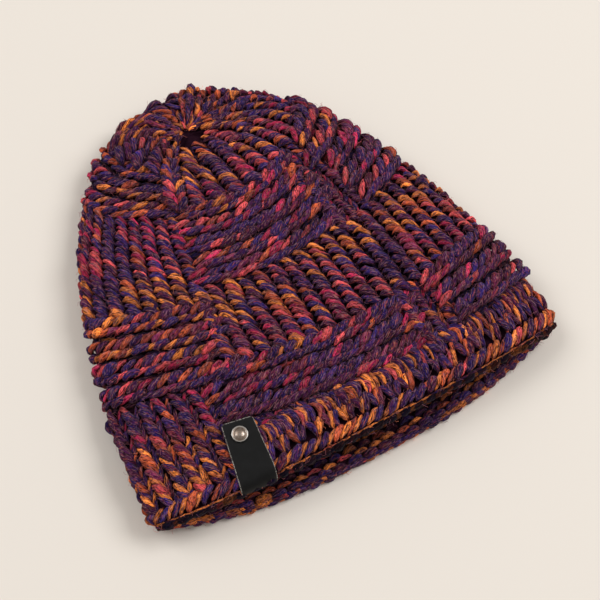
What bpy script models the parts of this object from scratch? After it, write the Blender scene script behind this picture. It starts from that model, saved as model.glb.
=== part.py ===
"""Chunky knitted beanie that lies flat, with a leather tag riveted over its rim.

The rim is towards -Y, the crown tip towards +Y and the two side folds lie at -X and +X.
The knit is one thick hollow wall. Its surface is worked out from a grid of rings: a ring's
place is its share of the way up the fabric, from the rim (0) to the gathered tip (1), and a
point's place on a ring is its share of the turn, which runs from the middle of the underside
(0) by the left fold (0.25), the middle of the upper side (0.5) and the right fold (0.75).
"""
from collections import namedtuple

import bmesh
import bpy
import numpy as np
from mathutils import Matrix, Vector

# Hat, in metres
HAT_WIDTH = 0.240          # fold to fold, without the relief of the stitches
HAT_LENGTH = 0.224         # from the rim ends of the side folds to the crown tip
FOLD_HEIGHT = 0.012        # side folds above the floor
UPPER_RISE = 0.0135        # upper layer above the side folds, at the rim
LOWER_DROP = 0.014         # lower layer below the folds, before the floor flattens it
UPPER_BULGE = 0.009        # middle of the upper rim, past the rim ends of the folds
LOWER_BULGE = 0.016        # middle of the lower rim, past the rim ends of the folds
WALL = 0.0065              # fabric without its outer relief
RIM_ROUNDING = 0.0016      # rim edge past the rim line
RIB_RISE = 0.0025          # upright ribs above the fabric
RIDGE_RISE = 0.0025        # lying ridges above the ground of their block
BLOCK_STAND = 0.0018       # ground of a block of ridges above the fabric
SECTION_GAP = 0.0003       # between two sections of the knit

# Tag and rivet, in metres
TAG_WIDTH = 0.020
TAG_THICKNESS = 0.0014
TAG_FRONT = 0.0315         # front leaf, from the rim to its top edge
TAG_BACK = 0.0270          # back leaf, from the rim to its end inside the hat
TAG_FOLD_REACH = 0.0034    # inside of the fold past the rim
TAG_CORNER = 0.0020
TAG_PLACE = -0.0635        # along X, where its middle line meets the rim
RIVET_FROM_TOP = 0.0075    # rivet middle below the top edge of the front leaf
RIVET_ASIDE = -0.0016      # rivet middle beside the middle line of the tag
RIVET_CAP_RADIUS = 0.0043
RIVET_CAP_HEIGHT = 0.0017
RIVET_POST_RADIUS = 0.0015
RIVET_BACK_RADIUS = 0.0034
RIVET_BACK_HEIGHT = 0.0008
SEAT_GAP = 0.0003          # between pieces that touch
TAG_TURN_DEGREES = 10.0    # tag turned about the vertical

# Form of the hat: exponents and shares
GATHER_TILT_DEGREES = 20.0  # gathered tip raised onto the upper side
LENGTH_ROUNDNESS = 1.60
LEFT_TAPER = 2.38
RIGHT_TAPER = 2.36
UPPER_TAPER = 3.33
LOWER_TAPER = 8.0
WIDTH_ROUNDNESS = 2.6
UPPER_ROUNDNESS = 2.2
LOWER_ROUNDNESS = 1.9
MID_SWELL = 0.35            # growth of the upper rise between the rim and the tip
BULGE_FALL = 1.25           # how fast the rim bulges fall away towards the folds
BULGE_DEPTH = 1 / 3         # share of the length that a rim bulge reaches into

# Stitches
RIB_COUNT = 54              # upright ribs around the hat
RIBBED_FROM = 0.19          # share of the turn where the ribs leave the flat underside
RIBBED_TO = 0.81
UNDERSIDE_STEPS = 10
TIP_FADE = 0.20             # last share of the fabric, where the relief dies into the gather
DENSE_TURNS = 360
DENSE_RINGS = 120
SCREW_STEPS = 24
CUTTER_SIDES = 16
FOLD_STEPS = 8
LEAF_STEPS = 3

Tier = namedtuple("Tier", "section start end ridges inner_steps")
TIERS = (
    Tier("rim_band", 0.000, 0.140, 2, 3),
    Tier("knit_body", 0.140, 0.265, 3, 2),
    Tier("knit_body", 0.265, 0.475, 4, 3),
    Tier("knit_body", 0.475, 0.745, 6, 3),
    Tier("knit_crown", 0.745, 0.965, 5, 4),
)

# Blocks where the stitches lie as ridges across the hat, from and to a share of the turn.
# Everywhere else they stand as upright ribs.
Block = namedtuple("Block", "tier first last")
RIDGE_BLOCKS = (
    Block(1, 0.100, 0.230),
    Block(1, 0.364, 0.598),
    Block(1, 0.640, 0.800),
    Block(2, 0.200, 0.394),
    Block(2, 0.760, 0.900),
    Block(3, 0.090, 0.250),
    Block(3, 0.409, 0.598),
    Block(3, 0.640, 0.780),
    Block(4, 0.260, 0.405),
)
CROWN_RIDGE_END = 0.860     # share of the fabric where the crown's block of ridges ends

MATERIALS = {
    "knit": ((0.035, 0.012, 0.060, 1.0), 0.92, 0.0),
    "leather": ((0.008, 0.008, 0.009, 1.0), 0.48, 0.0),
    "steel": ((0.55, 0.52, 0.48, 1.0), 0.30, 1.0),
}


def clear_scene():
    """Remove every object that the open file holds."""
    for old in list(bpy.data.objects):
        bpy.data.objects.remove(old, do_unlink=True)


def signed_power(value, exponent):
    return np.sign(value) * np.abs(value) ** exponent


def fabric_surface(inset):
    """Dense rings of the fabric, moved inwards by inset, from the rim to the gathered tip."""
    turn = np.linspace(0.0, 2 * np.pi, DENSE_TURNS, endpoint=False) - np.pi / 2
    climb, turn = np.meshgrid(np.linspace(0.0, 1.0, DENSE_RINGS), turn, indexing="ij")
    tilt = np.radians(GATHER_TILT_DEGREES)
    rim_way = np.stack([-np.cos(turn), np.zeros_like(turn), np.sin(turn)], -1)
    tip_way = np.array([0.0, np.cos(tilt), np.sin(tilt)])
    arc = np.arccos(rim_way @ tip_way)
    way = (np.sin((1 - climb) * arc)[..., None] * rim_way
           + np.sin(climb * arc)[..., None] * tip_way) / np.sin(arc)[..., None]
    along = np.clip(way[..., 1], 0.0, 1.0)
    around = np.sqrt(np.maximum(1 - along ** 2, 1e-12))
    side = way[..., 0] / around
    height = way[..., 2] / around
    height = np.where(np.abs(height) < 1e-6, 1e-6, height)
    left = np.sqrt(1 - along ** 2)
    taper = np.where(side < 0, left ** (2 / LEFT_TAPER), left ** (2 / RIGHT_TAPER))
    reach = along ** (2 / LENGTH_ROUNDNESS)
    upper = height > 0
    swell = 1 + MID_SWELL * np.sin(np.pi * reach)
    rise = np.where(upper, swell * (UPPER_RISE - inset), LOWER_DROP - inset)
    roundness = np.where(upper, UPPER_ROUNDNESS, LOWER_ROUNDNESS)
    bulge = np.where(upper, UPPER_BULGE, LOWER_BULGE)
    near_rim = (1 - np.clip(reach / BULGE_DEPTH, 0.0, 1.0)) ** 2
    x = (HAT_WIDTH / 2 - inset) * taper * signed_power(side, 2 / WIDTH_ROUNDNESS)
    y = (HAT_LENGTH - inset) * reach - bulge * np.abs(height) ** BULGE_FALL * near_rim
    thinning = np.where(upper, left ** (2 / UPPER_TAPER), left ** (2 / LOWER_TAPER))
    z = FOLD_HEIGHT + thinning * rise * signed_power(height, 2 / roundness)
    return np.stack([x, y, np.maximum(z, inset)], -1)


def along_line(line, shares):
    """Points of a polyline at shares of its length."""
    steps = np.linalg.norm(np.diff(line, axis=0), axis=1)
    travelled = np.concatenate([[0.0], np.cumsum(steps)])
    targets = np.asarray(shares) * travelled[-1]
    return np.stack([np.interp(targets, travelled, line[:, axis]) for axis in range(3)], -1)


def even_grid(surface, turns, climbs):
    """Points of a dense surface at even shares of its rings and of its rim-to-tip lines."""
    rings = np.stack([along_line(np.vstack([ring, ring[:1]]), turns) for ring in surface])
    return np.stack([along_line(rings[:, column], climbs) for column in range(len(turns))], 1)


def turn_shares():
    """Shares of the turn for the grid's columns, and which of them is the crest of a rib."""
    first = round(RIBBED_FROM * RIB_COUNT)
    last = round(RIBBED_TO * RIB_COUNT)
    halves = np.arange(2 * first, 2 * last + 1)
    ribbed = halves / (2 * RIB_COUNT)
    flat_span = 1 - (ribbed[-1] - ribbed[0])
    flat = ribbed[-1] + flat_span * np.arange(1, UNDERSIDE_STEPS) / UNDERSIDE_STEPS
    shares = np.concatenate([ribbed, flat])
    crest = np.concatenate([halves % 2 == 1, np.zeros(len(flat), bool)])
    return shares % 1.0, crest


def tier_rows(index):
    """Shares of the fabric for one tier's rows, and which of them is the crest of a ridge."""
    tier = TIERS[index]
    halves = np.arange(2 * tier.ridges + 1)
    shares = tier.start + (tier.end - tier.start) * halves / (2 * tier.ridges)
    return shares, halves % 2 == 1


def relief(tier_index, climb, row_crest, turns, column_crest):
    """Height of the stitches above the fabric along one row of the grid."""
    in_block = np.zeros(len(turns), bool)
    if tier_index < len(TIERS) - 1 or climb < CROWN_RIDGE_END:
        for block in RIDGE_BLOCKS:
            if block.tier == tier_index:
                in_block |= (turns >= block.first) & (turns <= block.last)
    ridge = BLOCK_STAND + RIDGE_RISE * float(row_crest)
    fade = min(1.0, (1 - climb) / TIP_FADE)
    return fade * np.where(in_block, ridge, RIB_RISE * column_crest)


def section_rings(section, outer_dense, inner_dense):
    """Outer and inner rings of one section of the knit, from its rim end to its tip end."""
    turns, column_crest = turn_shares()
    members = [index for index, tier in enumerate(TIERS) if tier.section == section]
    half_gap = SECTION_GAP / (2 * HAT_LENGTH)
    start = TIERS[members[0]].start + (half_gap if members[0] else 0.0)
    end = TIERS[members[-1]].end - (half_gap if members[-1] < len(TIERS) - 1 else 0.0)
    climbs, crests, owners, inner_climbs = [], [], [], []
    for index in members:
        tier = TIERS[index]
        rows, row_crest = tier_rows(index)
        keep = slice(0 if index == members[0] else 1, None)
        climbs.extend(rows[keep])
        crests.extend(row_crest[keep])
        owners.extend([index] * len(rows[keep]))
        inner_rows = np.linspace(tier.start, tier.end, tier.inner_steps + 1)
        inner_climbs.extend(inner_rows[keep])
    climbs[0], climbs[-1] = start, end
    inner_climbs[0], inner_climbs[-1] = start, end
    ground = even_grid(outer_dense, turns, climbs)
    below = even_grid(inner_dense, turns, climbs)
    inner = even_grid(inner_dense, turns, inner_climbs)
    outward = ground - below
    outward /= np.linalg.norm(outward, axis=-1, keepdims=True)
    for row, (climb, crest, owner) in enumerate(zip(climbs, crests, owners)):
        at_end = row in (0, len(climbs) - 1)
        height = relief(owner, climb, crest, turns, column_crest) * (not at_end)
        ground[row] += outward[row] * np.asarray(height)[:, None]
    ground[..., 2] = np.maximum(ground[..., 2], 0.0)
    return ground, inner


def rim_edge(outer_ring, inner_ring):
    """Ring along the middle of the rim's rounded edge."""
    middle = (outer_ring + inner_ring) / 2
    middle[:, 1] -= RIM_ROUNDING
    return middle


def loft(name, rings, looped=True, first_tip=None, last_tip=None):
    """Mesh through rings of as many points each, looped or closed by a fan at both tips."""
    mesh = bpy.data.meshes.new(name)
    shape = bmesh.new()
    rows = [[shape.verts.new(point) for point in ring] for ring in rings]
    if looped:
        rows.append(rows[0])
    count = len(rows[0])
    for lower, upper in zip(rows, rows[1:]):
        for column in range(count):
            after = (column + 1) % count
            shape.faces.new((lower[column], lower[after], upper[after], upper[column]))
    for tip, row in ((first_tip, rows[0]), (last_tip, rows[-1])):
        if tip is not None:
            peak = shape.verts.new(tip)
            for column in range(count):
                shape.faces.new((peak, row[column], row[(column + 1) % count]))
    bmesh.ops.triangulate(shape, faces=shape.faces[:], quad_method="SHORT_EDGE")
    bmesh.ops.recalc_face_normals(shape, faces=shape.faces[:])
    shape.to_mesh(mesh)
    shape.free()
    return mesh


def make_material(name):
    """Principled BSDF with the colour, roughness and metallic value of one finish."""
    colour, roughness, metallic = MATERIALS[name]
    material = bpy.data.materials.new(name)
    material.use_nodes = True
    shader = material.node_tree.nodes["Principled BSDF"]
    shader.inputs["Base Color"].default_value = colour
    shader.inputs["Roughness"].default_value = roughness
    shader.inputs["Metallic"].default_value = metallic
    return material


def add_object(name, mesh, collection, parent, material=None):
    """Object with a mesh, linked to its collection and carried by the hat's empty."""
    made = bpy.data.objects.new(name, mesh)
    collection.objects.link(made)
    made.parent = parent
    if material is not None:
        mesh.materials.append(material)
    return made


def add_cut(target, cutter):
    """Live exact Boolean difference on the target."""
    cut = target.modifiers.new("hole", "BOOLEAN")
    cut.operation = "DIFFERENCE"
    cut.solver = "EXACT"
    cut.object = cutter


def build_knit(collection, parent, material):
    """The three sections of the knit, and the rings that the tag is seated on."""
    outer_dense = fabric_surface(0.0)
    inner_dense = fabric_surface(WALL)
    rings = {name: section_rings(name, outer_dense, inner_dense)
             for name in ("rim_band", "knit_body", "knit_crown")}
    made = {}
    outer, inner = rings["rim_band"]
    lip = rim_edge(outer[0], inner[0])
    mesh = loft("rim_band", [*outer[::-1], lip, *inner])
    made["rim_band"] = add_object("rim_band", mesh, collection, parent, material)
    outer, inner = rings["knit_body"]
    mesh = loft("knit_body", [*outer, *inner[::-1]])
    made["knit_body"] = add_object("knit_body", mesh, collection, parent, material)
    outer, inner = rings["knit_crown"]
    mesh = loft("knit_crown", [*inner[::-1], *outer], looped=False,
                first_tip=inner_dense[-1, 0], last_tip=outer_dense[-1, 0])
    made["knit_crown"] = add_object("knit_crown", mesh, collection, parent, material)
    footprint = np.concatenate([ring.reshape(-1, 3) for ring, _ in rings.values()] + [lip])
    return made, rings, footprint


def tag_frame(rings):
    """Frame of the tag: origin on the rim, X across, Y along the tag, Z out of the fabric."""
    outer = rings["rim_band"][0]
    upper = outer[0][:, 2] > FOLD_HEIGHT
    rim_line = outer[0][upper]
    nearest = rim_line[np.argmin(np.abs(rim_line[:, 0] - TAG_PLACE))]
    turn = np.radians(TAG_TURN_DEGREES)
    along = np.array([np.sin(turn), np.cos(turn), 0.0])
    across = np.array([np.cos(turn), -np.sin(turn), 0.0])
    top_layer = outer[:, upper].reshape(-1, 3)
    offset = top_layer - nearest
    under = (np.abs(offset @ across) < TAG_WIDTH / 2) & (offset @ along < TAG_FRONT)
    flat = np.stack([offset[under] @ along, offset[under] @ across, np.ones(under.sum())], -1)
    slope_along, slope_across, _ = np.linalg.lstsq(flat, offset[under][:, 2], rcond=None)[0]
    along = along + np.array([0.0, 0.0, slope_along])
    across = across + np.array([0.0, 0.0, slope_across])
    normal = np.cross(across, along)
    axes = [Vector(across).normalized(), None, Vector(normal).normalized()]
    axes[1] = axes[2].cross(axes[0]).normalized()
    frame = Matrix([[*row] for row in zip(*axes)]).to_4x4()
    frame.translation = Vector(nearest)
    return frame


def tag_seats(frame, rings):
    """Heights of the two leaves in the tag's frame, and how far out the rim comes."""
    to_tag = np.array(frame.inverted())

    def local(points):
        flat = points.reshape(-1, 3)
        moved = flat @ to_tag[:3, :3].T + to_tag[:3, 3]
        near = np.abs(moved[:, 0]) < TAG_WIDTH / 2 + 2 * TAG_THICKNESS
        return moved[near & (moved[:, 1] < TAG_FRONT + 2 * TAG_THICKNESS)]

    outer, inner = rings["rim_band"]
    body_outer = rings["knit_body"][0]
    upper = outer[0][:, 2] > FOLD_HEIGHT
    inner_upper = inner[0][:, 2] > FOLD_HEIGHT
    top = local(np.concatenate([outer[:, upper], body_outer[:2, upper]]))
    under = local(inner[:, inner_upper])
    front = top[:, 2].max() + SEAT_GAP
    back = under[:, 2].min() - SEAT_GAP
    rim = local(outer[0][upper])[:, 1].min() - SEAT_GAP
    return front, back, rim


def build_tag(collection, parent, material, frame, seats):
    """Strip of leather folded over the rim, as an open ribbon with a thickness."""
    front, back, rim = seats
    top = front + TAG_THICKNESS / 2
    bottom = back - TAG_THICKNESS / 2
    middle = (top + bottom) / 2
    half = (top - bottom) / 2
    reach = TAG_FOLD_REACH + TAG_THICKNESS / 2
    path = [(length, top) for length in np.linspace(TAG_FRONT, rim, LEAF_STEPS + 1)]
    for step in range(1, FOLD_STEPS):
        angle = np.pi * step / FOLD_STEPS
        path.append((rim - reach * np.sin(angle), middle + half * np.cos(angle)))
    path += [(length, bottom) for length in np.linspace(rim, TAG_BACK, LEAF_STEPS + 1)]
    mesh = bpy.data.meshes.new("leather_tag")
    ribbon = bmesh.new()
    rows = [[ribbon.verts.new((side * TAG_WIDTH / 2, y, z)) for side in (-1, 1)]
            for y, z in path]
    for first, second in zip(rows, rows[1:]):
        ribbon.faces.new((first[0], second[0], second[1], first[1]))
    ribbon.to_mesh(mesh)
    ribbon.free()
    tag = add_object("leather_tag", mesh, collection, parent, material)
    tag.matrix_local = frame
    corners = tag.vertex_groups.new(name="corners")
    corners.add([0, 1, len(mesh.vertices) - 2, len(mesh.vertices) - 1], 1.0, "REPLACE")
    rounding = tag.modifiers.new("corners", "BEVEL")
    rounding.affect = "VERTICES"
    rounding.width = TAG_CORNER
    rounding.segments = 3
    rounding.limit_method = "VGROUP"
    rounding.vertex_group = "corners"
    wall = tag.modifiers.new("thickness", "SOLIDIFY")
    wall.thickness = TAG_THICKNESS
    wall.offset = 0.0
    return tag


def rivet_frame(frame):
    """Frame of the rivet on the plane of the tag's leaves."""
    return frame @ Matrix.Translation((RIVET_ASIDE, TAG_FRONT - RIVET_FROM_TOP, 0.0))


def build_rivet(collection, parent, material, frame, seats):
    """Domed cap, post and flat back cap, turned from one profile."""
    front, back, _ = seats
    cap_base = front + TAG_THICKNESS + SEAT_GAP
    back_top = back - TAG_THICKNESS - SEAT_GAP
    profile = [(0.0, cap_base + RIVET_CAP_HEIGHT)]
    dome_steps = 6
    for step in range(1, dome_steps + 1):
        angle = 0.5 * np.pi * step / dome_steps
        profile.append((RIVET_CAP_RADIUS * np.sin(angle),
                        cap_base + RIVET_CAP_HEIGHT * np.cos(angle) ** 0.8))
    profile += [
        (RIVET_POST_RADIUS, cap_base),
        (RIVET_POST_RADIUS, back_top),
        (RIVET_BACK_RADIUS, back_top),
        (RIVET_BACK_RADIUS, back_top - RIVET_BACK_HEIGHT),
        (0.0, back_top - RIVET_BACK_HEIGHT),
    ]
    mesh = bpy.data.meshes.new("rivet")
    points = [(radius, 0.0, height) for radius, height in profile]
    mesh.from_pydata(points, [(i, i + 1) for i in range(len(points) - 1)], [])
    rivet = add_object("rivet", mesh, collection, parent, material)
    rivet.matrix_local = rivet_frame(frame)
    screw = rivet.modifiers.new("turn", "SCREW")
    screw.axis = "Z"
    screw.steps = SCREW_STEPS
    screw.render_steps = SCREW_STEPS
    screw.use_merge_vertices = True
    screw.merge_threshold = 0.00005
    return rivet


def build_post_cutter(collection, parent, frame, seats):
    """Cylinder that opens the rivet's hole through both leaves and the wall."""
    front, back, _ = seats
    margin = 2 * TAG_THICKNESS
    depth = front - back + 2 * (TAG_THICKNESS + margin)
    mesh = bpy.data.meshes.new("post_cutter")
    shape = bmesh.new()
    bmesh.ops.create_cone(shape, cap_ends=True, segments=CUTTER_SIDES, depth=depth,
                          radius1=RIVET_POST_RADIUS + SEAT_GAP,
                          radius2=RIVET_POST_RADIUS + SEAT_GAP)
    shape.to_mesh(mesh)
    shape.free()
    cutter = add_object("post_cutter", mesh, collection, parent)
    cutter.matrix_local = rivet_frame(frame) @ Matrix.Translation((0, 0, (front + back) / 2))
    cutter.hide_render = True
    cutter.display_type = "WIRE"
    return cutter


def main():
    clear_scene()
    parts = bpy.data.collections.new("wool_beanie")
    cutters = bpy.data.collections.new("cutters")
    for collection in (parts, cutters):
        bpy.context.scene.collection.children.link(collection)
    centre = bpy.data.objects.new("footprint_centre", None)
    parts.objects.link(centre)
    finish = {name: make_material(name) for name in MATERIALS}
    knit, rings, footprint = build_knit(parts, centre, finish["knit"])
    frame = tag_frame(rings)
    seats = tag_seats(frame, rings)
    tag = build_tag(parts, centre, finish["leather"], frame, seats)
    build_rivet(parts, centre, finish["steel"], frame, seats)
    cutter = build_post_cutter(cutters, centre, frame, seats)
    add_cut(knit["rim_band"], cutter)
    add_cut(tag, cutter)
    middle = (footprint.min(axis=0) + footprint.max(axis=0)) / 2
    centre.location = (-middle[0], -middle[1], 0.0)


main()
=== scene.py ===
"""Looks of a chunky knitted beanie: the yarn of each stitch, the leather tag and the rivet.

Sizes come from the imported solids. A place on the knit is a share of the turn, from the middle
of the underside (0) by the left fold (0.25), the middle of the upper side (0.5) and the right
fold (0.75), with a share of the climb from the rim (0) to the gathered tip (1).
"""
import logging
from dataclasses import dataclass, field
from enum import Enum
from typing import Any, Optional, Sequence

import bmesh
import bpy
import numpy as np
from mathutils import Matrix, Vector


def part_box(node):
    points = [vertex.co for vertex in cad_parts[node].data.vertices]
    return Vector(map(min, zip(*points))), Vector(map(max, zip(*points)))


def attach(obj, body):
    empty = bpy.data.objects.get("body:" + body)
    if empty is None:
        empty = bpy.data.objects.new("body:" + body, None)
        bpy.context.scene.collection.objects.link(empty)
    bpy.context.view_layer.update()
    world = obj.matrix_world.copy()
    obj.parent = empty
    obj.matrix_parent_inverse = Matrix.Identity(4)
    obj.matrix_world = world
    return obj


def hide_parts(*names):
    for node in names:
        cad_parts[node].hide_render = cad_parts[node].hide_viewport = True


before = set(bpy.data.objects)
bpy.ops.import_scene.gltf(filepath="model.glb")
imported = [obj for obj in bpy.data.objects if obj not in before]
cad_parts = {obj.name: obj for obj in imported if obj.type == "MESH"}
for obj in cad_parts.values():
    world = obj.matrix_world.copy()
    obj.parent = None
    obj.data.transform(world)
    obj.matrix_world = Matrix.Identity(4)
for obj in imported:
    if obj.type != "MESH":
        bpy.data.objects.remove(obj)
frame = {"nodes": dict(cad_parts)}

log = logging.getLogger("beanie")
MM = 0.001
SEED = 7
TINY = 1e-12         # keeps a division from a zero length
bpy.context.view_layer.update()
Array = np.ndarray


# Colours of the yarn


class Tint(Enum):
    """Dyed colours of the wool, as sRGB hex values."""

    NAVY = "2c2160"
    PURPLE = "481c46"
    PLUM = "782a4c"
    BERRY = "cc2e5a"
    CORAL = "f45c60"
    RUST = "d86238"
    AMBER = "ff9040"


class Lot(Enum):
    """Stretches of the self-striping yarn: shares of the tints in its bright ply."""

    EMBER = ((Tint.AMBER, 0.50), (Tint.RUST, 0.24), (Tint.CORAL, 0.10), (Tint.NAVY, 0.12),
             (Tint.PURPLE, 0.04))
    BERRY = ((Tint.CORAL, 0.42), (Tint.BERRY, 0.24), (Tint.RUST, 0.12), (Tint.AMBER, 0.08),
             (Tint.NAVY, 0.14))
    WINE = ((Tint.BERRY, 0.32), (Tint.CORAL, 0.22), (Tint.PLUM, 0.12), (Tint.NAVY, 0.20),
            (Tint.RUST, 0.10), (Tint.AMBER, 0.04))
    DUSK = ((Tint.BERRY, 0.26), (Tint.PLUM, 0.16), (Tint.PURPLE, 0.18), (Tint.NAVY, 0.22),
            (Tint.RUST, 0.08), (Tint.CORAL, 0.10))
    COPPER = ((Tint.RUST, 0.30), (Tint.AMBER, 0.30), (Tint.CORAL, 0.12), (Tint.NAVY, 0.20),
              (Tint.PURPLE, 0.08))
    NIGHT = ((Tint.NAVY, 0.70), (Tint.PURPLE, 0.24), (Tint.PLUM, 0.06))


@dataclass(frozen=True)
class Stripe:
    """Window of the knit, in shares of the turn and of the climb, that one lot colours."""

    first: float
    last: float
    low: float
    high: float
    lot: Lot


# A later row goes over an earlier one.
STRIPES = (
    Stripe(0.000, 1.000, -0.10, 1.010, Lot.DUSK),
    Stripe(0.000, 1.000, -0.10, 0.115, Lot.EMBER),
    Stripe(0.227, 0.364, 0.115, 0.155, Lot.EMBER),
    Stripe(0.598, 0.640, 0.115, 0.170, Lot.EMBER),
    Stripe(0.250, 0.640, 0.235, 0.290, Lot.WINE),
    Stripe(0.394, 0.598, 0.285, 0.385, Lot.BERRY),
    Stripe(0.394, 0.598, 0.385, 0.505, Lot.EMBER),
    Stripe(0.598, 0.760, 0.255, 0.355, Lot.BERRY),
    Stripe(0.598, 0.760, 0.355, 0.465, Lot.EMBER),
    Stripe(0.000, 0.394, 0.295, 0.350, Lot.BERRY),
    Stripe(0.000, 0.394, 0.350, 0.455, Lot.EMBER),
    Stripe(0.760, 1.000, 0.265, 0.360, Lot.BERRY),
    Stripe(0.760, 1.000, 0.360, 0.465, Lot.EMBER),
    Stripe(0.090, 0.409, 0.455, 0.535, Lot.EMBER),
    Stripe(0.090, 0.409, 0.535, 0.720, Lot.WINE),
    Stripe(0.409, 0.780, 0.635, 0.750, Lot.WINE),
    Stripe(0.409, 0.500, 0.490, 0.690, Lot.WINE),
    Stripe(0.409, 0.490, 0.690, 0.750, Lot.COPPER),
    Stripe(0.000, 1.000, 0.745, 0.805, Lot.BERRY),
    Stripe(0.000, 1.000, 0.805, 1.010, Lot.COPPER),
    Stripe(0.250, 0.409, 0.720, 0.870, Lot.COPPER),
)


# Layout of the stitches


class Stitch(Enum):
    """How the stitches of a patch stand on the knit."""

    ROPE = "upright columns of one leg a row, laid over a core"
    CABLE = "the same with steeper legs"
    VEE = "upright columns of even legs"
    TALL = "one row of long upright legs"
    RIDGE = "lying braids, two rows of legs to a braid"
    CROWN = "upright columns of steep, crowded legs"
    CHAIN = "one row of slanting legs"
    STRAND = "one thin strand"
    PURL = "short arches on the inner side"
    BIT = "short mixed legs that join two rows"


@dataclass(frozen=True)
class Leg:
    """One ply of a stitch, as a bent line through three places of the stitch's cell.

    Places are shares of the cell, across and along its column from the cell's middle. Lifts
    are shares of the column's height, and thick is a share of the yarn's ply.
    """

    start: tuple[float, float]
    middle: tuple[float, float]
    end: tuple[float, float]
    lifts: tuple[float, float, float]
    thick: float
    bright: bool

    def knots(self) -> list[tuple[float, float, float]]:
        """The three places, each with its lift."""
        return [(*place, lift) for place, lift in zip((self.start, self.middle, self.end),
                                                      self.lifts)]


# What a column of stitches has in its groove and under its legs
COLUMN_CORE = (
    Leg((0.48, 0.46), (0.50, -0.04), (0.48, -0.54), (0.00, 0.16, 0.00), 0.80, False),
    Leg((0.00, 0.56), (0.02, 0.00), (0.00, -0.56), (0.30, 0.42, 0.30), 1.50, False),
)
LEGS = {
    Stitch.ROPE: (
        Leg((-0.52, 0.36), (-0.05, 0.20), (0.50, -0.56), (0.46, 1.00, 0.30), 1.06, True),
        Leg((-0.52, -0.14), (-0.05, -0.30), (0.50, -1.06), (0.46, 1.00, 0.30), 1.42, False),
        *COLUMN_CORE,
    ),
    Stitch.CABLE: (
        Leg((-0.50, 0.46), (-0.10, 0.20), (0.48, -0.80), (0.40, 1.00, 0.34), 1.06, True),
        Leg((-0.50, -0.04), (-0.10, -0.30), (0.48, -1.30), (0.40, 1.00, 0.34), 1.40, False),
        *COLUMN_CORE,
    ),
    Stitch.VEE: (
        Leg((-0.46, 0.60), (-0.14, 0.06), (0.20, -0.62), (0.20, 1.00, 0.40), 1.00, True),
        Leg((-0.46, 0.10), (-0.14, -0.44), (0.20, -1.12), (0.20, 1.00, 0.40), 1.36, False),
        Leg((0.48, 0.52), (0.36, 0.02), (0.10, -0.50), (0.05, 0.60, 0.30), 0.58, True),
        Leg((0.48, 0.10), (0.34, -0.52), (0.08, -1.16), (0.05, 0.60, 0.30), 0.92, False),
    ),
    Stitch.CROWN: (
        Leg((-0.46, 0.66), (-0.20, 0.05), (0.06, -0.70), (0.45, 1.00, 0.45), 1.10, True),
        Leg((-0.46, 0.16), (-0.20, -0.45), (0.06, -1.20), (0.45, 1.00, 0.45), 1.50, False),
        Leg((0.46, 0.66), (0.26, 0.05), (0.02, -0.70), (0.30, 0.84, 0.35), 0.90, True),
        Leg((0.46, 0.16), (0.26, -0.45), (0.02, -1.20), (0.30, 0.84, 0.35), 1.16, False),
    ),
    Stitch.TALL: (
        Leg((-0.46, 0.50), (-0.06, 0.26), (-0.12, -0.16), (0.30, 1.00, 0.40), 0.82, True),
        Leg((-0.30, 0.56), (0.16, 0.32), (0.10, -0.16), (0.20, 0.90, 0.40), 1.30, False),
        Leg((0.10, 0.50), (0.52, 0.22), (0.34, -0.30), (0.25, 1.00, 0.35), 0.76, True),
        Leg((0.34, 0.54), (0.76, 0.24), (0.60, -0.20), (0.20, 0.84, 0.30), 1.20, False),
        Leg((-0.52, 0.06), (-0.34, -0.20), (-0.14, -0.54), (0.20, 0.90, 0.30), 1.20, False),
        Leg((0.24, 0.02), (-0.04, -0.20), (-0.22, -0.58), (0.35, 1.00, 0.35), 0.78, True),
        Leg((0.56, 0.00), (0.24, -0.24), (0.06, -0.60), (0.20, 0.84, 0.30), 1.26, False),
        Leg((-0.60, 0.52), (0.00, 0.56), (0.60, 0.52), (0.00, 0.16, 0.00), 1.00, False),
    ),
    Stitch.RIDGE: (
        Leg((-0.50, -0.13), (0.00, 0.17), (0.50, 0.45), (0.86, 1.06, 0.40), 1.04, True),
        Leg((0.02, -0.12), (0.50, 0.17), (0.98, 0.43), (0.84, 0.96, 0.40), 1.44, False),
        Leg((-0.54, -0.39), (0.00, -0.25), (0.54, -0.12), (0.50, 0.98, 0.84), 1.00, True),
        Leg((-0.04, -0.38), (0.50, -0.25), (1.04, -0.13), (0.50, 0.88, 0.82), 1.42, False),
        Leg((-0.60, -0.52), (0.00, -0.50), (0.60, -0.52), (-0.05, 0.12, -0.05), 1.10, False),
    ),
    Stitch.CHAIN: (
        Leg((-0.58, -0.36), (0.02, 0.02), (0.58, 0.38), (0.20, 1.00, 0.30), 0.86, True),
        Leg((-0.08, -0.36), (0.52, 0.02), (1.08, 0.38), (0.20, 1.00, 0.30), 1.24, False),
    ),
    Stitch.STRAND: (
        Leg((-0.62, 0.00), (0.00, 0.04), (0.62, 0.00), (0.45, 0.60, 0.45), 0.42, True),
    ),
    Stitch.PURL: (
        Leg((-0.54, -0.22), (0.00, 0.06), (0.54, -0.22), (0.30, 0.90, 0.30), 1.20, False),
        Leg((-0.04, 0.30), (0.50, 0.52), (1.04, 0.30), (0.40, 1.00, 0.40), 1.00, True),
    ),
    Stitch.BIT: (
        Leg((-0.52, 0.24), (-0.10, 0.30), (0.28, 0.02), (0.20, 1.00, 0.30), 0.80, True),
        Leg((-0.30, -0.25), (0.10, -0.05), (0.55, -0.40), (0.20, 0.90, 0.30), 1.25, False),
        Leg((0.10, 0.46), (0.32, 0.12), (0.36, -0.38), (0.20, 0.85, 0.30), 0.72, True),
        Leg((0.35, 0.40), (0.55, 0.10), (0.72, -0.30), (0.20, 0.70, 0.30), 1.10, False),
    ),
}
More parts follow.
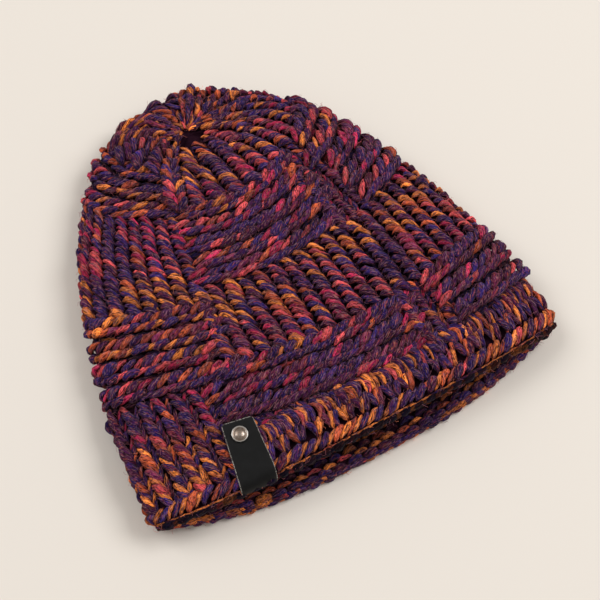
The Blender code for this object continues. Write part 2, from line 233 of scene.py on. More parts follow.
LYING = (Stitch.RIDGE, Stitch.CHAIN)   # stitches whose rows run round the hat

# How much more than usual some stitches stray
LOOSE = {Stitch.TALL: 2.2, Stitch.BIT: 1.8, Stitch.CROWN: 1.5}


@dataclass(frozen=True)
class Patch:
    """Block of stitches, in shares of the turn and of the climb. A turn past 1 wraps round."""

    stitch: Stitch
    first: float
    last: float
    low: float
    high: float
    columns: int   # upright columns round the whole hat, or the ridges of the block
    rows: int      # stitches along a column, or round the whole hat along a ridge
    height: float  # of the rope over its ground, in millimetres
    stand: float   # of its ground over the fabric, in millimetres
    fall: float = 0.0      # drop of its low edge to the last turn, as a share of the climb
    top_fall: float = 0.0  # drop of its high edge


@dataclass(frozen=True)
class EdgeRow:
    """Row of stitches on the rim's lip, which runs from the outer face (0) to the inner (1)."""

    stitch: Stitch
    centre: float  # where it lies on the lip
    spread: float  # how much of the lip it covers
    first: float   # share of the turn
    last: float
    lit: float     # share of light that gets to it, painted into its colour
    stand: float   # of its ground over the lip, in millimetres


# lit is painted light scaled into each row's colour; the chain at 0.40 on the upper rim's edge is
# painted almost dark as shade.
EDGE_ROWS = (
    EdgeRow(Stitch.STRAND, 0.13, 0.30, 0.24, 0.76, 0.8, -2.6),
    EdgeRow(Stitch.CHAIN, 0.40, 0.34, 0.24, 0.76, 0.12, -2.6),
    EdgeRow(Stitch.CHAIN, 0.22, 0.30, 0.76, 1.24, 1.0, -3.2),
    EdgeRow(Stitch.CHAIN, 0.52, 0.34, 0.71, 1.29, 0.8, -3.8),
    EdgeRow(Stitch.CHAIN, 0.84, -0.34, 0.71, 1.29, 0.8, -2.6),
)
INNER = "inner_stitches"
PATCHES = {
    "rim_stitches": (
        Patch(Stitch.TALL, 0.364, 1.160, 0.036, 0.118, 54, 1, 3.2, -2.4),
        Patch(Stitch.CHAIN, 0.160, 1.160, -0.006, 0.036, 1, 62, 3.0, -2.0),
        Patch(Stitch.VEE, 0.160, 0.364, 0.034, 0.252, 54, 7, 3.6, -2.8),
        Patch(Stitch.BIT, 0.364, 0.600, 0.106, 0.146, 58, 1, 2.0, -2.8, 0.02, 0.03),
    ),
    "low_stitches": (
        Patch(Stitch.RIDGE, 0.358, 0.606, 0.146, 0.302, 3, 48, 3.8, -2.6, 0.044, 0.045),
        Patch(Stitch.VEE, 0.594, 0.650, 0.090, 0.266, 54, 6, 3.8, -2.2),
        Patch(Stitch.RIDGE, 0.632, 0.890, 0.106, 0.264, 3, 48, 4.4, 0.2),
        Patch(Stitch.VEE, 0.890, 1.040, 0.110, 0.268, 54, 6, 3.4, -2.4),
        Patch(Stitch.RIDGE, 1.040, 1.160, 0.110, 0.262, 3, 48, 3.6, -2.4),
    ),
    "mid_stitches": (
        Patch(Stitch.RIDGE, 0.130, 0.398, 0.250, 0.462, 4, 46, 4.0, -2.8),
        Patch(Stitch.CABLE, 0.394, 0.602, 0.294, 0.500, 54, 7, 4.2, -3.0, 0.034),
        Patch(Stitch.CABLE, 0.602, 0.850, 0.258, 0.478, 54, 7, 4.4, -1.8),
        Patch(Stitch.RIDGE, 0.844, 0.950, 0.265, 0.468, 4, 46, 4.0, -2.4),
        Patch(Stitch.ROPE, 0.950, 1.134, 0.268, 0.462, 54, 7, 2.8, -2.4),
    ),
    "high_stitches": (
        Patch(Stitch.ROPE, 0.170, 0.415, 0.456, 0.718, 51, 9, 4.4, -3.0),
        Patch(Stitch.RIDGE, 0.400, 0.606, 0.496, 0.746, 5, 35, 4.0, -2.4),
        Patch(Stitch.VEE, 0.592, 0.656, 0.470, 0.750, 48, 9, 4.0, -2.4),
        Patch(Stitch.RIDGE, 0.634, 0.870, 0.474, 0.746, 5, 35, 4.2, -0.8),
        Patch(Stitch.ROPE, 0.866, 1.010, 0.465, 0.750, 46, 9, 4.0, -2.4),
        Patch(Stitch.RIDGE, 1.006, 1.174, 0.462, 0.752, 6, 35, 3.6, -2.6),
    ),
    "crown_stitches": (
        Patch(Stitch.RIDGE, 0.166, 0.415, 0.706, 0.866, 3, 28, 3.6, -2.2),
        Patch(Stitch.CABLE, 0.405, 0.660, 0.738, 0.868, 31, 4, 4.4, -2.8),
        Patch(Stitch.CABLE, 0.660, 1.170, 0.738, 0.868, 34, 4, 3.6, -2.8),
        Patch(Stitch.ROPE, 0.190, 0.392, 0.850, 0.944, 21, 3, 4.8, -0.4),
        Patch(Stitch.CABLE, 0.440, 0.950, 0.858, 0.946, 21, 3, 3.8, -2.8),
        Patch(Stitch.CABLE, 0.950, 1.060, 0.854, 0.946, 21, 3, 4.4, -0.8),
        Patch(Stitch.CABLE, 1.060, 1.190, 0.858, 0.946, 21, 3, 3.8, -2.8),
        Patch(Stitch.CROWN, 0.610, 1.376, 0.926, 0.992, 13, 2, 3.8, -2.4),
        Patch(Stitch.CROWN, 0.393, 0.438, 0.742, 0.990, 22, 7, 5.0, -0.4),
        Patch(Stitch.CROWN, 0.895, 0.955, 0.850, 0.985, 17, 4, 4.6, -1.4),
    ),
    INNER: (
        Patch(Stitch.PURL, 0.000, 1.000, -0.012, 0.156, 54, 7, 2.2, -0.6),
    ),
}


# The yarn and the fabric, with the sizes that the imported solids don't give


@dataclass(frozen=True)
class Yarn:
    """Bulky two-ply roving, in metres."""

    ply: float = 3.2 * MM           # thickness of one ply
    gauge: float = 9.0 * MM         # width of a stitch
    flatness: float = 0.86          # a ply's thickness out of the knit, as a share of that
    segments: int = 8
    sides: int = 6
    tip: float = 0.14               # thickness of a leg's end, as a share of its middle
    wander: float = 0.30 * MM       # how far a stitch strays from its place
    swell: float = 0.11             # share by which plies differ in thickness
    lumps: float = 0.44 * MM        # relief of the loose fibres
    stray_tint: float = 0.16        # share of dark plies that take the bright ply's tint
    colour_run: float = 0.45        # how often a stitch keeps the tint of the one before
    fading: float = 0.30            # spread of the tints' brightness


@dataclass(frozen=True)
class HatForm:
    """Form of the knit's fabric, as the solids have it. Lengths in metres."""

    fold_height: float = 12.0 * MM
    upper_rise: float = 13.5 * MM
    lower_drop: float = 14.0 * MM
    upper_bulge: float = 9.0 * MM
    lower_bulge: float = 16.0 * MM
    wall: float = 6.5 * MM
    rim_rounding: float = 1.6 * MM
    rib_rise: float = 2.5 * MM
    gather_tilt: float = 20.0
    puckers: int = 7                # folds of the gathered tip
    pucker_rise: float = 1.8 * MM
    pucker_from: float = 0.80       # climb where they begin
    pucker_growth: float = 0.12     # climb over which they grow
    pucker_end: float = 0.04        # climb over which they die away at the gather
    pucker_phase: float = 1.0
    gather_lean: float = 5.5        # more tilt that the last stitches take on
    lean_from: float = 0.60
    length_roundness: float = 1.60
    left_taper: float = 2.38
    right_taper: float = 2.36
    upper_taper: float = 3.33
    lower_taper: float = 8.0
    width_roundness: float = 2.6
    upper_roundness: float = 2.2
    lower_roundness: float = 1.9
    mid_swell: float = 0.35
    bulge_fall: float = 1.25
    lower_bulge_fall: float = 2.4
    bulge_depth: float = 1 / 3
    level: float = 1e-6             # least height of a direction, as a share

    def size(self) -> tuple[float, float, float]:
        """Width and length of the fabric and the Y of its rim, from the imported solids.

        Returns:
            Fold to fold width, rim to tip length, and where the rim ends of the folds lie.
        """
        rim_low, rim_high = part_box("rim_band")
        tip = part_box("knit_crown")[1].y
        width = rim_high.x - rim_low.x - 2 * self.rib_rise
        length = tip - rim_low.y - self.lower_bulge - self.rim_rounding
        return width, length, tip - length

    def surface(self, inset: float, turns: int, rings: int) -> Array:
        """Dense rings of the fabric moved inwards, from the rim to the gathered tip.

        Args:
            inset: how far inside the outer face the surface lies.
            turns: points on a ring.
            rings: rings from rim to tip.

        Returns:
            Points as an array of rings by turns by 3.
        """
        width, length, rim_y = self.size()
        angle = np.linspace(0.0, 2 * np.pi, turns, endpoint=False) - np.pi / 2
        climb, angle = np.meshgrid(np.linspace(0.0, 1.0, rings), angle, indexing="ij")
        tilt = np.radians(self.gather_tilt)
        rim_way = np.stack([-np.cos(angle), np.zeros_like(angle), np.sin(angle)], -1)
        tip_way = np.array([0.0, np.cos(tilt), np.sin(tilt)])
        arc = np.arccos(rim_way @ tip_way)
        way = (np.sin((1 - climb) * arc)[..., None] * rim_way
               + np.sin(climb * arc)[..., None] * tip_way) / np.sin(arc)[..., None]
        lean = np.radians(self.gather_lean) * np.clip(
            (climb - self.lean_from) / (1 - self.lean_from), 0.0, 1.0) ** 2
        way = np.stack([way[..., 0], way[..., 1] * np.cos(lean) - way[..., 2] * np.sin(lean),
                        way[..., 1] * np.sin(lean) + way[..., 2] * np.cos(lean)], -1)
        along = np.clip(way[..., 1], 0.0, 1.0)
        around = np.sqrt(np.maximum(1 - along ** 2, TINY))
        side, height = way[..., 0] / around, way[..., 2] / around
        height = np.where(np.abs(height) < self.level, self.level, height)
        left = np.sqrt(1 - along ** 2)
        taper = np.where(side < 0, left ** (2 / self.left_taper), left ** (2 / self.right_taper))
        reach = along ** (2 / self.length_roundness)
        upper = height > 0
        swell = 1 + self.mid_swell * np.sin(np.pi * reach)
        rise = np.where(upper, swell * (self.upper_rise - inset), self.lower_drop - inset)
        roundness = np.where(upper, self.upper_roundness, self.lower_roundness)
        bulge = np.where(upper, self.upper_bulge, self.lower_bulge)
        fall = np.where(upper, self.bulge_fall, self.lower_bulge_fall)
        near_rim = (1 - np.clip(reach / self.bulge_depth, 0.0, 1.0)) ** 2
        thinning = left ** np.where(upper, 2 / self.upper_taper, 2 / self.lower_taper)
        sway = np.sign(side) * np.abs(side) ** (2 / self.width_roundness)
        lift = np.sign(height) * np.abs(height) ** (2 / roundness)
        x = (width / 2 - inset) * taper * sway
        y = rim_y + (length - inset) * reach - bulge * np.abs(height) ** fall * near_rim
        gathered = np.clip((climb - self.pucker_from) / self.pucker_growth, 0.0, 1.0)
        gathered *= np.clip((1 - climb) / self.pucker_end, 0.0, 1.0)
        wave = np.cos(self.puckers * angle + self.pucker_phase)
        pucker = self.pucker_rise * gathered * wave * upper
        z = self.fold_height + thinning * rise * lift + pucker
        return np.stack([x, y, np.maximum(z, inset)], -1)


def unit(vectors: Array) -> Array:
    """Vectors brought to length 1."""
    return vectors / np.maximum(np.linalg.norm(vectors, axis=-1, keepdims=True), TINY)


def along_line(line: Array, shares: Array) -> Array:
    """Points of a polyline at shares of its length.

    Args:
        line: points of the line.
        shares: shares of its length, 0 to 1.

    Returns:
        One point for each share.
    """
    steps = np.linalg.norm(np.diff(line, axis=0), axis=1)
    travelled = np.concatenate([[0.0], np.cumsum(steps)])
    targets = shares * travelled[-1]
    return np.stack([np.interp(targets, travelled, line[:, axis]) for axis in range(3)], -1)


class Fabric:
    """A face of the knit, read at any share of the turn and of the climb."""

    DENSE = (360, 120)   # turns and rings that the even grid is drawn from

    def __init__(self, form: HatForm, inset: float, facing: float = 1.0,
                 turns: int = 480, climbs: int = 200) -> None:
        """Work out the face once, on an even grid.

        Args:
            form: form of the hat.
            inset: how far inside the outer face it lies.
            facing: 1 for normals out of the hat, -1 for normals into it.
            turns: grid steps round the hat.
            climbs: grid steps from rim to tip.
        """
        dense = form.surface(inset, *self.DENSE)
        ring_shares = np.arange(turns) / turns
        rings = np.stack([along_line(np.vstack([ring, ring[:1]]), ring_shares) for ring in dense])
        climb_shares = np.linspace(0.0, 1.0, climbs + 1)
        self.grid = np.stack([along_line(rings[:, i], climb_shares) for i in range(turns)], 1)
        self.turns, self.climbs = turns, climbs
        round_way = np.roll(self.grid, -2, 1) - np.roll(self.grid, 2, 1)
        climb_way = np.gradient(self.grid, axis=0)
        normal = np.cross(round_way, climb_way)
        self.normal = facing * unit(normal)
        self.normal[-3:] = unit(self.normal[-4].mean(0))   # the gather's last rings are too small
        closed = np.concatenate([self.grid, self.grid[:, :1]], 1)
        self.girth = np.linalg.norm(np.diff(closed, axis=1), axis=-1).sum(1)

    def read(self, grid: Array, turn: Array, climb: Array) -> Array:
        """Read a grid between its points.

        Args:
            grid: the places or the normals.
            turn: shares of the turn.
            climb: shares of the climb.

        Returns:
            One row of three numbers for each place.
        """
        column = (turn % 1.0) * self.turns
        row = np.clip(climb, 0.0, 1.0) * self.climbs
        left = np.floor(column).astype(int) % self.turns
        right = (left + 1) % self.turns
        below = np.minimum(np.floor(row).astype(int), self.climbs - 1)
        across = (column - np.floor(column))[..., None]
        up = (row - below)[..., None]
        low = grid[below, left] * (1 - across) + grid[below, right] * across
        high = grid[below + 1, left] * (1 - across) + grid[below + 1, right] * across
        return low * (1 - up) + high * up

    def place(self, turn: Array, climb: Array) -> tuple[Array, Array]:
        """Points of the face and their unit normals."""
        normal = unit(self.read(self.normal, turn, climb))
        return self.read(self.grid, turn, climb), normal

    def girth_at(self, climb: Array) -> Array:
        """Length once round the face at a share of the climb."""
        return np.interp(climb, np.linspace(0.0, 1.0, self.climbs + 1), self.girth)


# Nodes, objects and finishes


def set_inputs(tree: bpy.types.NodeTree, node: bpy.types.Node, inputs: dict[Any, Any]) -> None:
    """Link or set a node's inputs.

    Args:
        tree: node tree that holds the node.
        node: the node.
        inputs: for an input's name or number, an output socket to link or a value to set.
    """
    for key, value in inputs.items():
        if isinstance(value, bpy.types.NodeSocket):
            tree.links.new(value, node.inputs[key])
        else:
            node.inputs[key].default_value = value


def add_node(tree: bpy.types.NodeTree, kind: str, settings: dict[str, Any],
             inputs: dict[Any, Any]) -> bpy.types.Node:
    """Add a node with its settings and links.

    Args:
        tree: node tree that gets the node.
        kind: type name of the node.
        settings: values of the node's own properties.
        inputs: for an input's name or number, an output socket to link or a value to set.

    Returns:
        The new node.
    """
    node = tree.nodes.new(kind)
    for name, value in settings.items():
        setattr(node, name, value)
    set_inputs(tree, node, inputs)
    return node


@dataclass(frozen=True)
class Graph:
    """Node tree with short forms of the nodes that it uses most. Each gives an output."""

    tree: bpy.types.NodeTree

    def node(self, kind: str, inputs: Optional[dict[Any, Any]] = None, output: Any = 0,
             **settings: Any) -> bpy.types.NodeSocket:
        """Add any node.

        Args:
            kind: type name of the node.
            inputs: its links and values, by the input's name or number.
            output: name or number of the output that is given back.
            **settings: values of the node's own properties.

        Returns:
            The output.
        """
        return add_node(self.tree, kind, settings, inputs or {}).outputs[output]

    def math(self, operation: str, *values: Any) -> bpy.types.NodeSocket:
        """Arithmetic on numbers."""
        return self.node("ShaderNodeMath", dict(enumerate(values)), operation=operation)

    def vector(self, operation: str, *values: Any) -> bpy.types.NodeSocket:
        """Arithmetic on vectors."""
        return self.node("ShaderNodeVectorMath", dict(enumerate(values)), operation=operation)

    def scaled(self, vector: Any, factor: Any) -> bpy.types.NodeSocket:
        """Vector times a number."""
        return self.node("ShaderNodeVectorMath", {0: vector, "Scale": factor},
                         operation="SCALE")

    def noise(self, where: Any, scale: Any, detail: float = 2.0, roughness: float = 0.5,
              output: str = "Fac") -> bpy.types.NodeSocket:
        """Noise texture, with its scale in features a metre."""
        return self.node("ShaderNodeTexNoise", {"Vector": where, "Scale": scale,
                                                "Detail": detail, "Roughness": roughness}, output)

    def ramp(self, value: Any, low: float, high: float, first: Any = 0.0,
             last: Any = 1.0) -> bpy.types.NodeSocket:
        """Value that goes from first to last while another goes from low to high."""
        return self.node("ShaderNodeMapRange", {"Value": value, "From Min": low, "From Max": high,
                                                "To Min": first, "To Max": last})

    def mix(self, share: Any, first: Any, second: Any,
            blend: str = "MIX") -> bpy.types.NodeSocket:
        """Colour between two colours."""
        return self.node("ShaderNodeMix", {0: share, 6: first, 7: second}, 2,
                         data_type="RGBA", blend_type=blend)

    def attribute(self, name: str, output: str = "Fac") -> bpy.types.NodeSocket:
        """The mesh's attribute, in a material."""
        return self.node("ShaderNodeAttribute", output=output, attribute_name=name)

    def object_place(self) -> bpy.types.NodeSocket:
        """Place in the object's own coordinates, in a material."""
        return self.node("ShaderNodeTexCoord", output="Object")

    def bump(self, height: Any, strength: float, distance: float,
             invert: bool = False) -> bpy.types.NodeSocket:
        """Normal of a relief that is too fine for the mesh."""
        return self.node("ShaderNodeBump", {"Height": height, "Strength": strength,
                                            "Distance": distance}, "Normal", invert=invert)

    def store(self, geometry: Any, name: str, value: Any,
              kind: str = "FLOAT") -> bpy.types.NodeSocket:
        """Geometry with a named attribute stored on it."""
        return self.node("GeometryNodeStoreNamedAttribute",
                         {"Geometry": geometry, "Name": name, "Value": value}, data_type=kind)

    def kept_above(self, geometry: Any, floor: Any) -> bpy.types.NodeSocket:
        """Geometry with what lies below the floor pressed up to it."""
        place = add_node(self.tree, "ShaderNodeSeparateXYZ", {},
                         {0: self.node("GeometryNodeInputPosition")}).outputs
        pressed = self.node("ShaderNodeCombineXYZ", {
            0: place["X"], 1: place["Y"], 2: self.math("MAXIMUM", place["Z"], floor)})
        return self.node("GeometryNodeSetPosition", {"Geometry": geometry, "Position": pressed})

    def turned(self, along: Any, out: Any) -> bpy.types.NodeSocket:
        """Rotation that brings X along one direction and Z towards another."""
        return self.node("FunctionNodeAxesToRotation",
                         {"Primary Axis": along, "Secondary Axis": out},
                         primary_axis="X", secondary_axis="Z")

    def close(self, geometry: Any, material: Any) -> bpy.types.NodeTree:
        """Give the geometry its material and send it out of the tree."""
        dressed = self.node("GeometryNodeSetMaterial",
                            {"Geometry": geometry, "Material": material})
        add_node(self.tree, "NodeGroupOutput", {}, {0: dressed})
        return self.tree


def linear(hex_code: str) -> tuple[float, float, float, float]:
    """Linear colour of an sRGB hex value such as "1f1c4a"."""
    parts = [int(hex_code[i:i + 2], 16) / 255 for i in (0, 2, 4)]
    low = [part / 12.92 for part in parts]
    high = [((part + 0.055) / 1.055) ** 2.4 for part in parts]
    return (*[a if part <= 0.04045 else b for part, a, b in zip(parts, low, high)], 1.0)


def add_object(name: str, mesh: bpy.types.Mesh) -> bpy.types.Object:
    """Object at the origin, linked to the scene."""
    made = bpy.data.objects.new(name, mesh)
    bpy.context.scene.collection.objects.link(made)
    return made


def loft(shape: bmesh.types.BMesh, rings: Sequence[Sequence[bmesh.types.BMVert]]) -> None:
    """Join each ring of corners to the next by faces. A ring of one corner is a pole.

    Args:
        shape: mesh that holds the corners.
        rings: the rings, in order.
    """
    for first, second in zip(rings, rings[1:]):
        for i in range(max(len(first), len(second))):
            corners = [first[i % len(first)], first[(i + 1) % len(first)],
                       second[(i + 1) % len(second)], second[i % len(second)]]
            shape.faces.new(list(dict.fromkeys(corners)))


def add_shape(name: str, shape: bmesh.types.BMesh, material: bpy.types.Material,
              crease: float = 180.0) -> bpy.types.Object:
    """Object from a closed shape, with its faces outward and smooth.

    Args:
        name: name of the object.
        shape: the shape, which is used up.
        material: its finish.
        crease: edges that bend more than this many degrees stay sharp.

    Returns:
        The object.
    """
    bmesh.ops.recalc_face_normals(shape, faces=shape.faces[:])
    mesh = bpy.data.meshes.new(name)
    shape.to_mesh(mesh)
    shape.free()
    mesh.shade_smooth()
    if crease < 180.0:
        mesh.set_sharp_from_angle(angle=np.radians(crease))
    mesh.materials.append(material)
    return add_object(name, mesh)


def run_tree(name: str, mesh: bpy.types.Mesh, tree: bpy.types.NodeTree,
             sizes: dict[str, Any]) -> bpy.types.Mesh:
    """Run a Geometry Nodes tree on a mesh and keep the result as a plain mesh.

    Args:
        name: name of the result.
        mesh: mesh that the tree starts from.
        tree: Geometry Nodes tree with named inputs.
        sizes: values of those inputs, by name.

    Returns:
        The finished mesh.
    """
    source = add_object(name + "_source", mesh)
    modifier = source.modifiers.new("grow", "NODES")
    modifier.node_group = tree
    for item in tree.interface.items_tree:
        if item.item_type == "SOCKET" and item.in_out == "INPUT" and item.name in sizes:
            modifier[item.identifier] = sizes[item.name]
    graph = bpy.context.evaluated_depsgraph_get()
    result = bpy.data.meshes.new_from_object(source.evaluated_get(graph))
    result.name = name
    bpy.data.objects.remove(source, do_unlink=True)
    bpy.data.meshes.remove(mesh)
    return result


def new_tree(name: str, inputs: dict[str, tuple[str, Any]]) -> tuple[Graph, Any]:
    """Geometry Nodes tree with a geometry in and out and named inputs.

    Args:
        name: name of the tree.
        inputs: socket type and default for each input's name.

    Returns:
        The tree as a graph, and the sockets that give its inputs.
    """
    tree = bpy.data.node_groups.new(name, "GeometryNodeTree")
    tree.interface.new_socket("Geometry", in_out="INPUT", socket_type="NodeSocketGeometry")
    for label, (kind, default) in inputs.items():
        socket = tree.interface.new_socket(label, in_out="INPUT", socket_type=kind)
        if default is not None:
            socket.default_value = default
    tree.interface.new_socket("Geometry", in_out="OUTPUT", socket_type="NodeSocketGeometry")
    return Graph(tree), add_node(tree, "NodeGroupInput", {}, {}).outputs


class Finish:
    """A material, described by the inputs of its Principled shader."""

    NAME = ""

    def inputs(self, graph: Graph) -> dict[str, Any]:
        """Links and values of the shader's inputs."""
        raise NotImplementedError

    def build(self) -> bpy.types.Material:
        """Make the material."""
        material = bpy.data.materials.new(self.NAME)
        material.use_nodes = True
        tree = material.node_tree
        set_inputs(tree, tree.nodes["Principled BSDF"], self.inputs(Graph(tree)))
        return material


@dataclass(frozen=True)
class WoolFinish(Finish):
    """Bulky wool roving, carded from dyed fibres and loosely plied, so it looks heathered."""

    NAME = "heathered_wool_roving"
    roughness: float = 0.85
    specular: float = 0.06
    sheen: float = 0.05
    sheen_roughness: float = 0.4
    fibre: float = 0.58 * MM        # wool is 0.03 mm; drawn as bundles that show
    stretch: float = 4.4            # how much longer than thick a bundle is
    twist: float = 160.0            # turn of the fibres along the ply, in radians per metre
    dark_fibres_and_shade: float = 0.92            # share of dark fibres in a ply; they lie in the sunk grooves of the relief, so they are partly painted shade
    fleck: float = 0.80             # share of fibres carded in from the other tints
    dark: str = "1a060e"
    warm: str = "a84a3c"
    cool: str = "3a1f4c"
    pale: str = "c89490"
    pale_share: float = 0.40        # share of the pale fibres that lie on top
    shade_tint: str = "8c3446"      # painted shade: colour of the light that comes back out of a crevice
    blend: str = "5c2240"           # tint that long stretches of a ply drift towards
    drift: float = 0.50
    relief: float = 0.80 * MM

    def inputs(self, graph: Graph) -> dict[str, Any]:
        """Fibres drawn along each ply, over the ply's own tint, with painted light and shade.

        The mesh's attribute fibre is the place in the ply, tint its colour with, as alpha, the
        painted share of light that gets down to it, and shade the painted share that gets to its
        sides and ends.
        """
        fibre, tint = graph.attribute("fibre", "Vector"), graph.attribute("tint", "Color")
        angle = graph.math("MULTIPLY", graph.node("ShaderNodeSeparateXYZ", {0: fibre}, "X"),
                           self.twist)
        spun = graph.node("ShaderNodeVectorRotate", {"Vector": fibre, "Angle": angle},
                          rotation_type="X_AXIS")
        thin = 1 / self.fibre
        grain = graph.vector("MULTIPLY", spun, (thin / self.stretch, thin, thin))
        strands = graph.noise(grain, 1.0, 3.0, 0.65)
        carded = graph.noise(graph.vector("ADD", grain, (17.3, 5.1, 9.7)), 0.62, 3.0, 0.7)
        slow = graph.noise(grain, 0.17)
        fine = graph.noise(graph.vector("MULTIPLY_ADD", grain, (0.7, 1.5, 1.5),
                                        (3.9, 11.3, 6.1)), 1.0)
        colour = tint
        # The dark fibres follow the same noise as the sunk grooves of the bump, so they also
        # paint shade into the grooves.
        for noise, low, high, most, fibres in ((slow, 0.48, 0.64, self.drift, self.blend),
                                               (carded, 0.55, 0.63, self.fleck, self.warm),
                                               (carded, 0.46, 0.36, self.fleck, self.cool),
                                               (strands, 0.46, 0.60, self.dark_fibres_and_shade, self.dark),
                                               (fine, 0.56, 0.66, self.pale_share, self.pale)):
            share = graph.ramp(noise, low, high, 0.0, most)
            colour = graph.mix(share, colour, linear(fibres))
        # Painted shade: where the shade attribute is low the colour is multiplied towards
        # shade_tint, and the whole colour is scaled by the painted light in the tint's alpha.
        in_painted_crevice_shade = graph.mix(1.0, colour, linear(self.shade_tint), "MULTIPLY")
        with_painted_shade = graph.mix(graph.attribute("shade"), in_painted_crevice_shade, colour)
        return {"Base Color": graph.scaled(with_painted_shade, graph.attribute("tint", "Alpha")),
                "Normal": graph.bump(strands, 1.0, self.relief, invert=True),
                "Roughness": self.roughness, "Sheen Weight": self.sheen,
                "Sheen Roughness": self.sheen_roughness, "Specular IOR Level": self.specular}


@dataclass(frozen=True)
class LooseFibreFinish(Finish):
    """Single wool fibres pulled out of the carded roving, thin enough to let light through; their
    pale colour paints in that light.
    """

    NAME = "loose_wool_fibre"
    colour: str = "c87c80"
    share: float = 0.60
    roughness: float = 0.7
    specular: float = 0.2

    def inputs(self, graph: Graph) -> dict[str, Any]:
        """Pale fibre, partly painted light shining through it, part of it the tint of the ply
        below.
        """
        colour = graph.mix(self.share, graph.attribute("tint", "Color"), linear(self.colour))
        return {"Base Color": colour, "Roughness": self.roughness,
                "Specular IOR Level": self.specular}


@dataclass(frozen=True)
class FeltedGroundFinish(Finish):
    """Back loops of the same wool, packed, with their colour darkened to near black as painted
    shade, so they read as a dark felt.
    """

    NAME = "wool_loops_in_painted_shade"
    # Both tints are the wool darkened to near black as painted shade.
    colour: str = "14060c"
    fleck: str = "2c1222"
    fibre: float = 0.9 * MM
    relief: float = 0.6 * MM
    roughness: float = 0.95
    specular: float = 0.05

    def inputs(self, graph: Graph) -> dict[str, Any]:
        """Two dark tints of painted shade and a coarse relief, on object coordinates."""
        noise = graph.noise(graph.object_place(), 1 / self.fibre, 4.0)
        return {"Base Color": graph.mix(noise, linear(self.colour), linear(self.fleck)),
                "Normal": graph.bump(noise, 0.9, self.relief),
                "Roughness": self.roughness, "Specular IOR Level": self.specular}


@dataclass(frozen=True)
class LeatherFinish(Finish):
    """Vegetable-tanned leather, dyed black on its face and cut, so its edges show grey fibre."""

    NAME = "black_dyed_leather"
    face: str = "060606"
    worn: str = "101011"
    edge: str = "b4aea6"
    grain: float = 0.55 * MM
    grain_relief: float = 0.10 * MM
    wear: float = 4.0 * MM          # size of the worn places
    fray: float = 0.5 * MM          # size of the torn places on the cut edges
    roughness: float = 0.62
    specular: float = 0.18

    def inputs(self, graph: Graph) -> dict[str, Any]:
        """Worn face and frayed edges. The mesh's attribute edge is 1 on its cut edges."""
        where = graph.object_place()
        pores = graph.node("ShaderNodeTexVoronoi", {"Vector": where, "Scale": 1 / self.grain},
                           "Distance")
        worn = graph.ramp(graph.noise(where, 1 / self.wear, 5.0, 0.6), 0.45, 0.75, 0.0, 0.7)
        face = graph.mix(worn, linear(self.face), linear(self.worn))
        torn = graph.ramp(graph.noise(where, 1 / self.fray, 3.0), 0.40, 0.62, 0.05, 0.9)
        frayed = graph.node("ShaderNodeMath", {0: graph.attribute("edge"), 1: torn},
                            operation="MULTIPLY", use_clamp=True)
        return {"Base Color": graph.mix(frayed, face, linear(self.edge)),
                "Normal": graph.bump(pores, 0.25, self.grain_relief),
                "Roughness": self.roughness, "Specular IOR Level": self.specular}


@dataclass(frozen=True)
class RivetFinish(Finish):
    """Nickel-plated steel, pressed and then dulled by handling."""

    NAME = "antique_nickel_plate"
    bright: str = "d2ccc6"
    dull: str = "8c7c70"
    blotch: float = 1.6 * MM
    polish: float = -0.35           # how much less tarnish the ring has
    roughness: tuple[float, float] = (0.26, 0.50)

    def inputs(self, graph: Graph) -> dict[str, Any]:
        """Tarnish in the hollows. The mesh's attribute edge is 1 on its ring."""
        tarnish = graph.noise(graph.object_place(), 1 / self.blotch, 6.0, 0.65)
        clean = graph.math("MULTIPLY_ADD", graph.attribute("edge"), self.polish, tarnish)
        return {"Base Color": graph.mix(graph.ramp(clean, 0.2, 0.5), linear(self.bright),
                                        linear(self.dull)),
                "Roughness": graph.ramp(tarnish, 0.3, 0.8, *self.roughness), "Metallic": 1.0}


@dataclass(frozen=True)
class LinenFinish(Finish):
    """Plain pale backdrop cloth, pressed flat."""

    NAME = "pale_backdrop"
    colour: str = "e6dfd6"

    def inputs(self, graph: Graph) -> dict[str, Any]:
        """One matt colour."""
        return {"Base Color": linear(self.colour), "Roughness": 0.9, "Specular IOR Level": 0.1}


# Plies of yarn, laid by Geometry Nodes


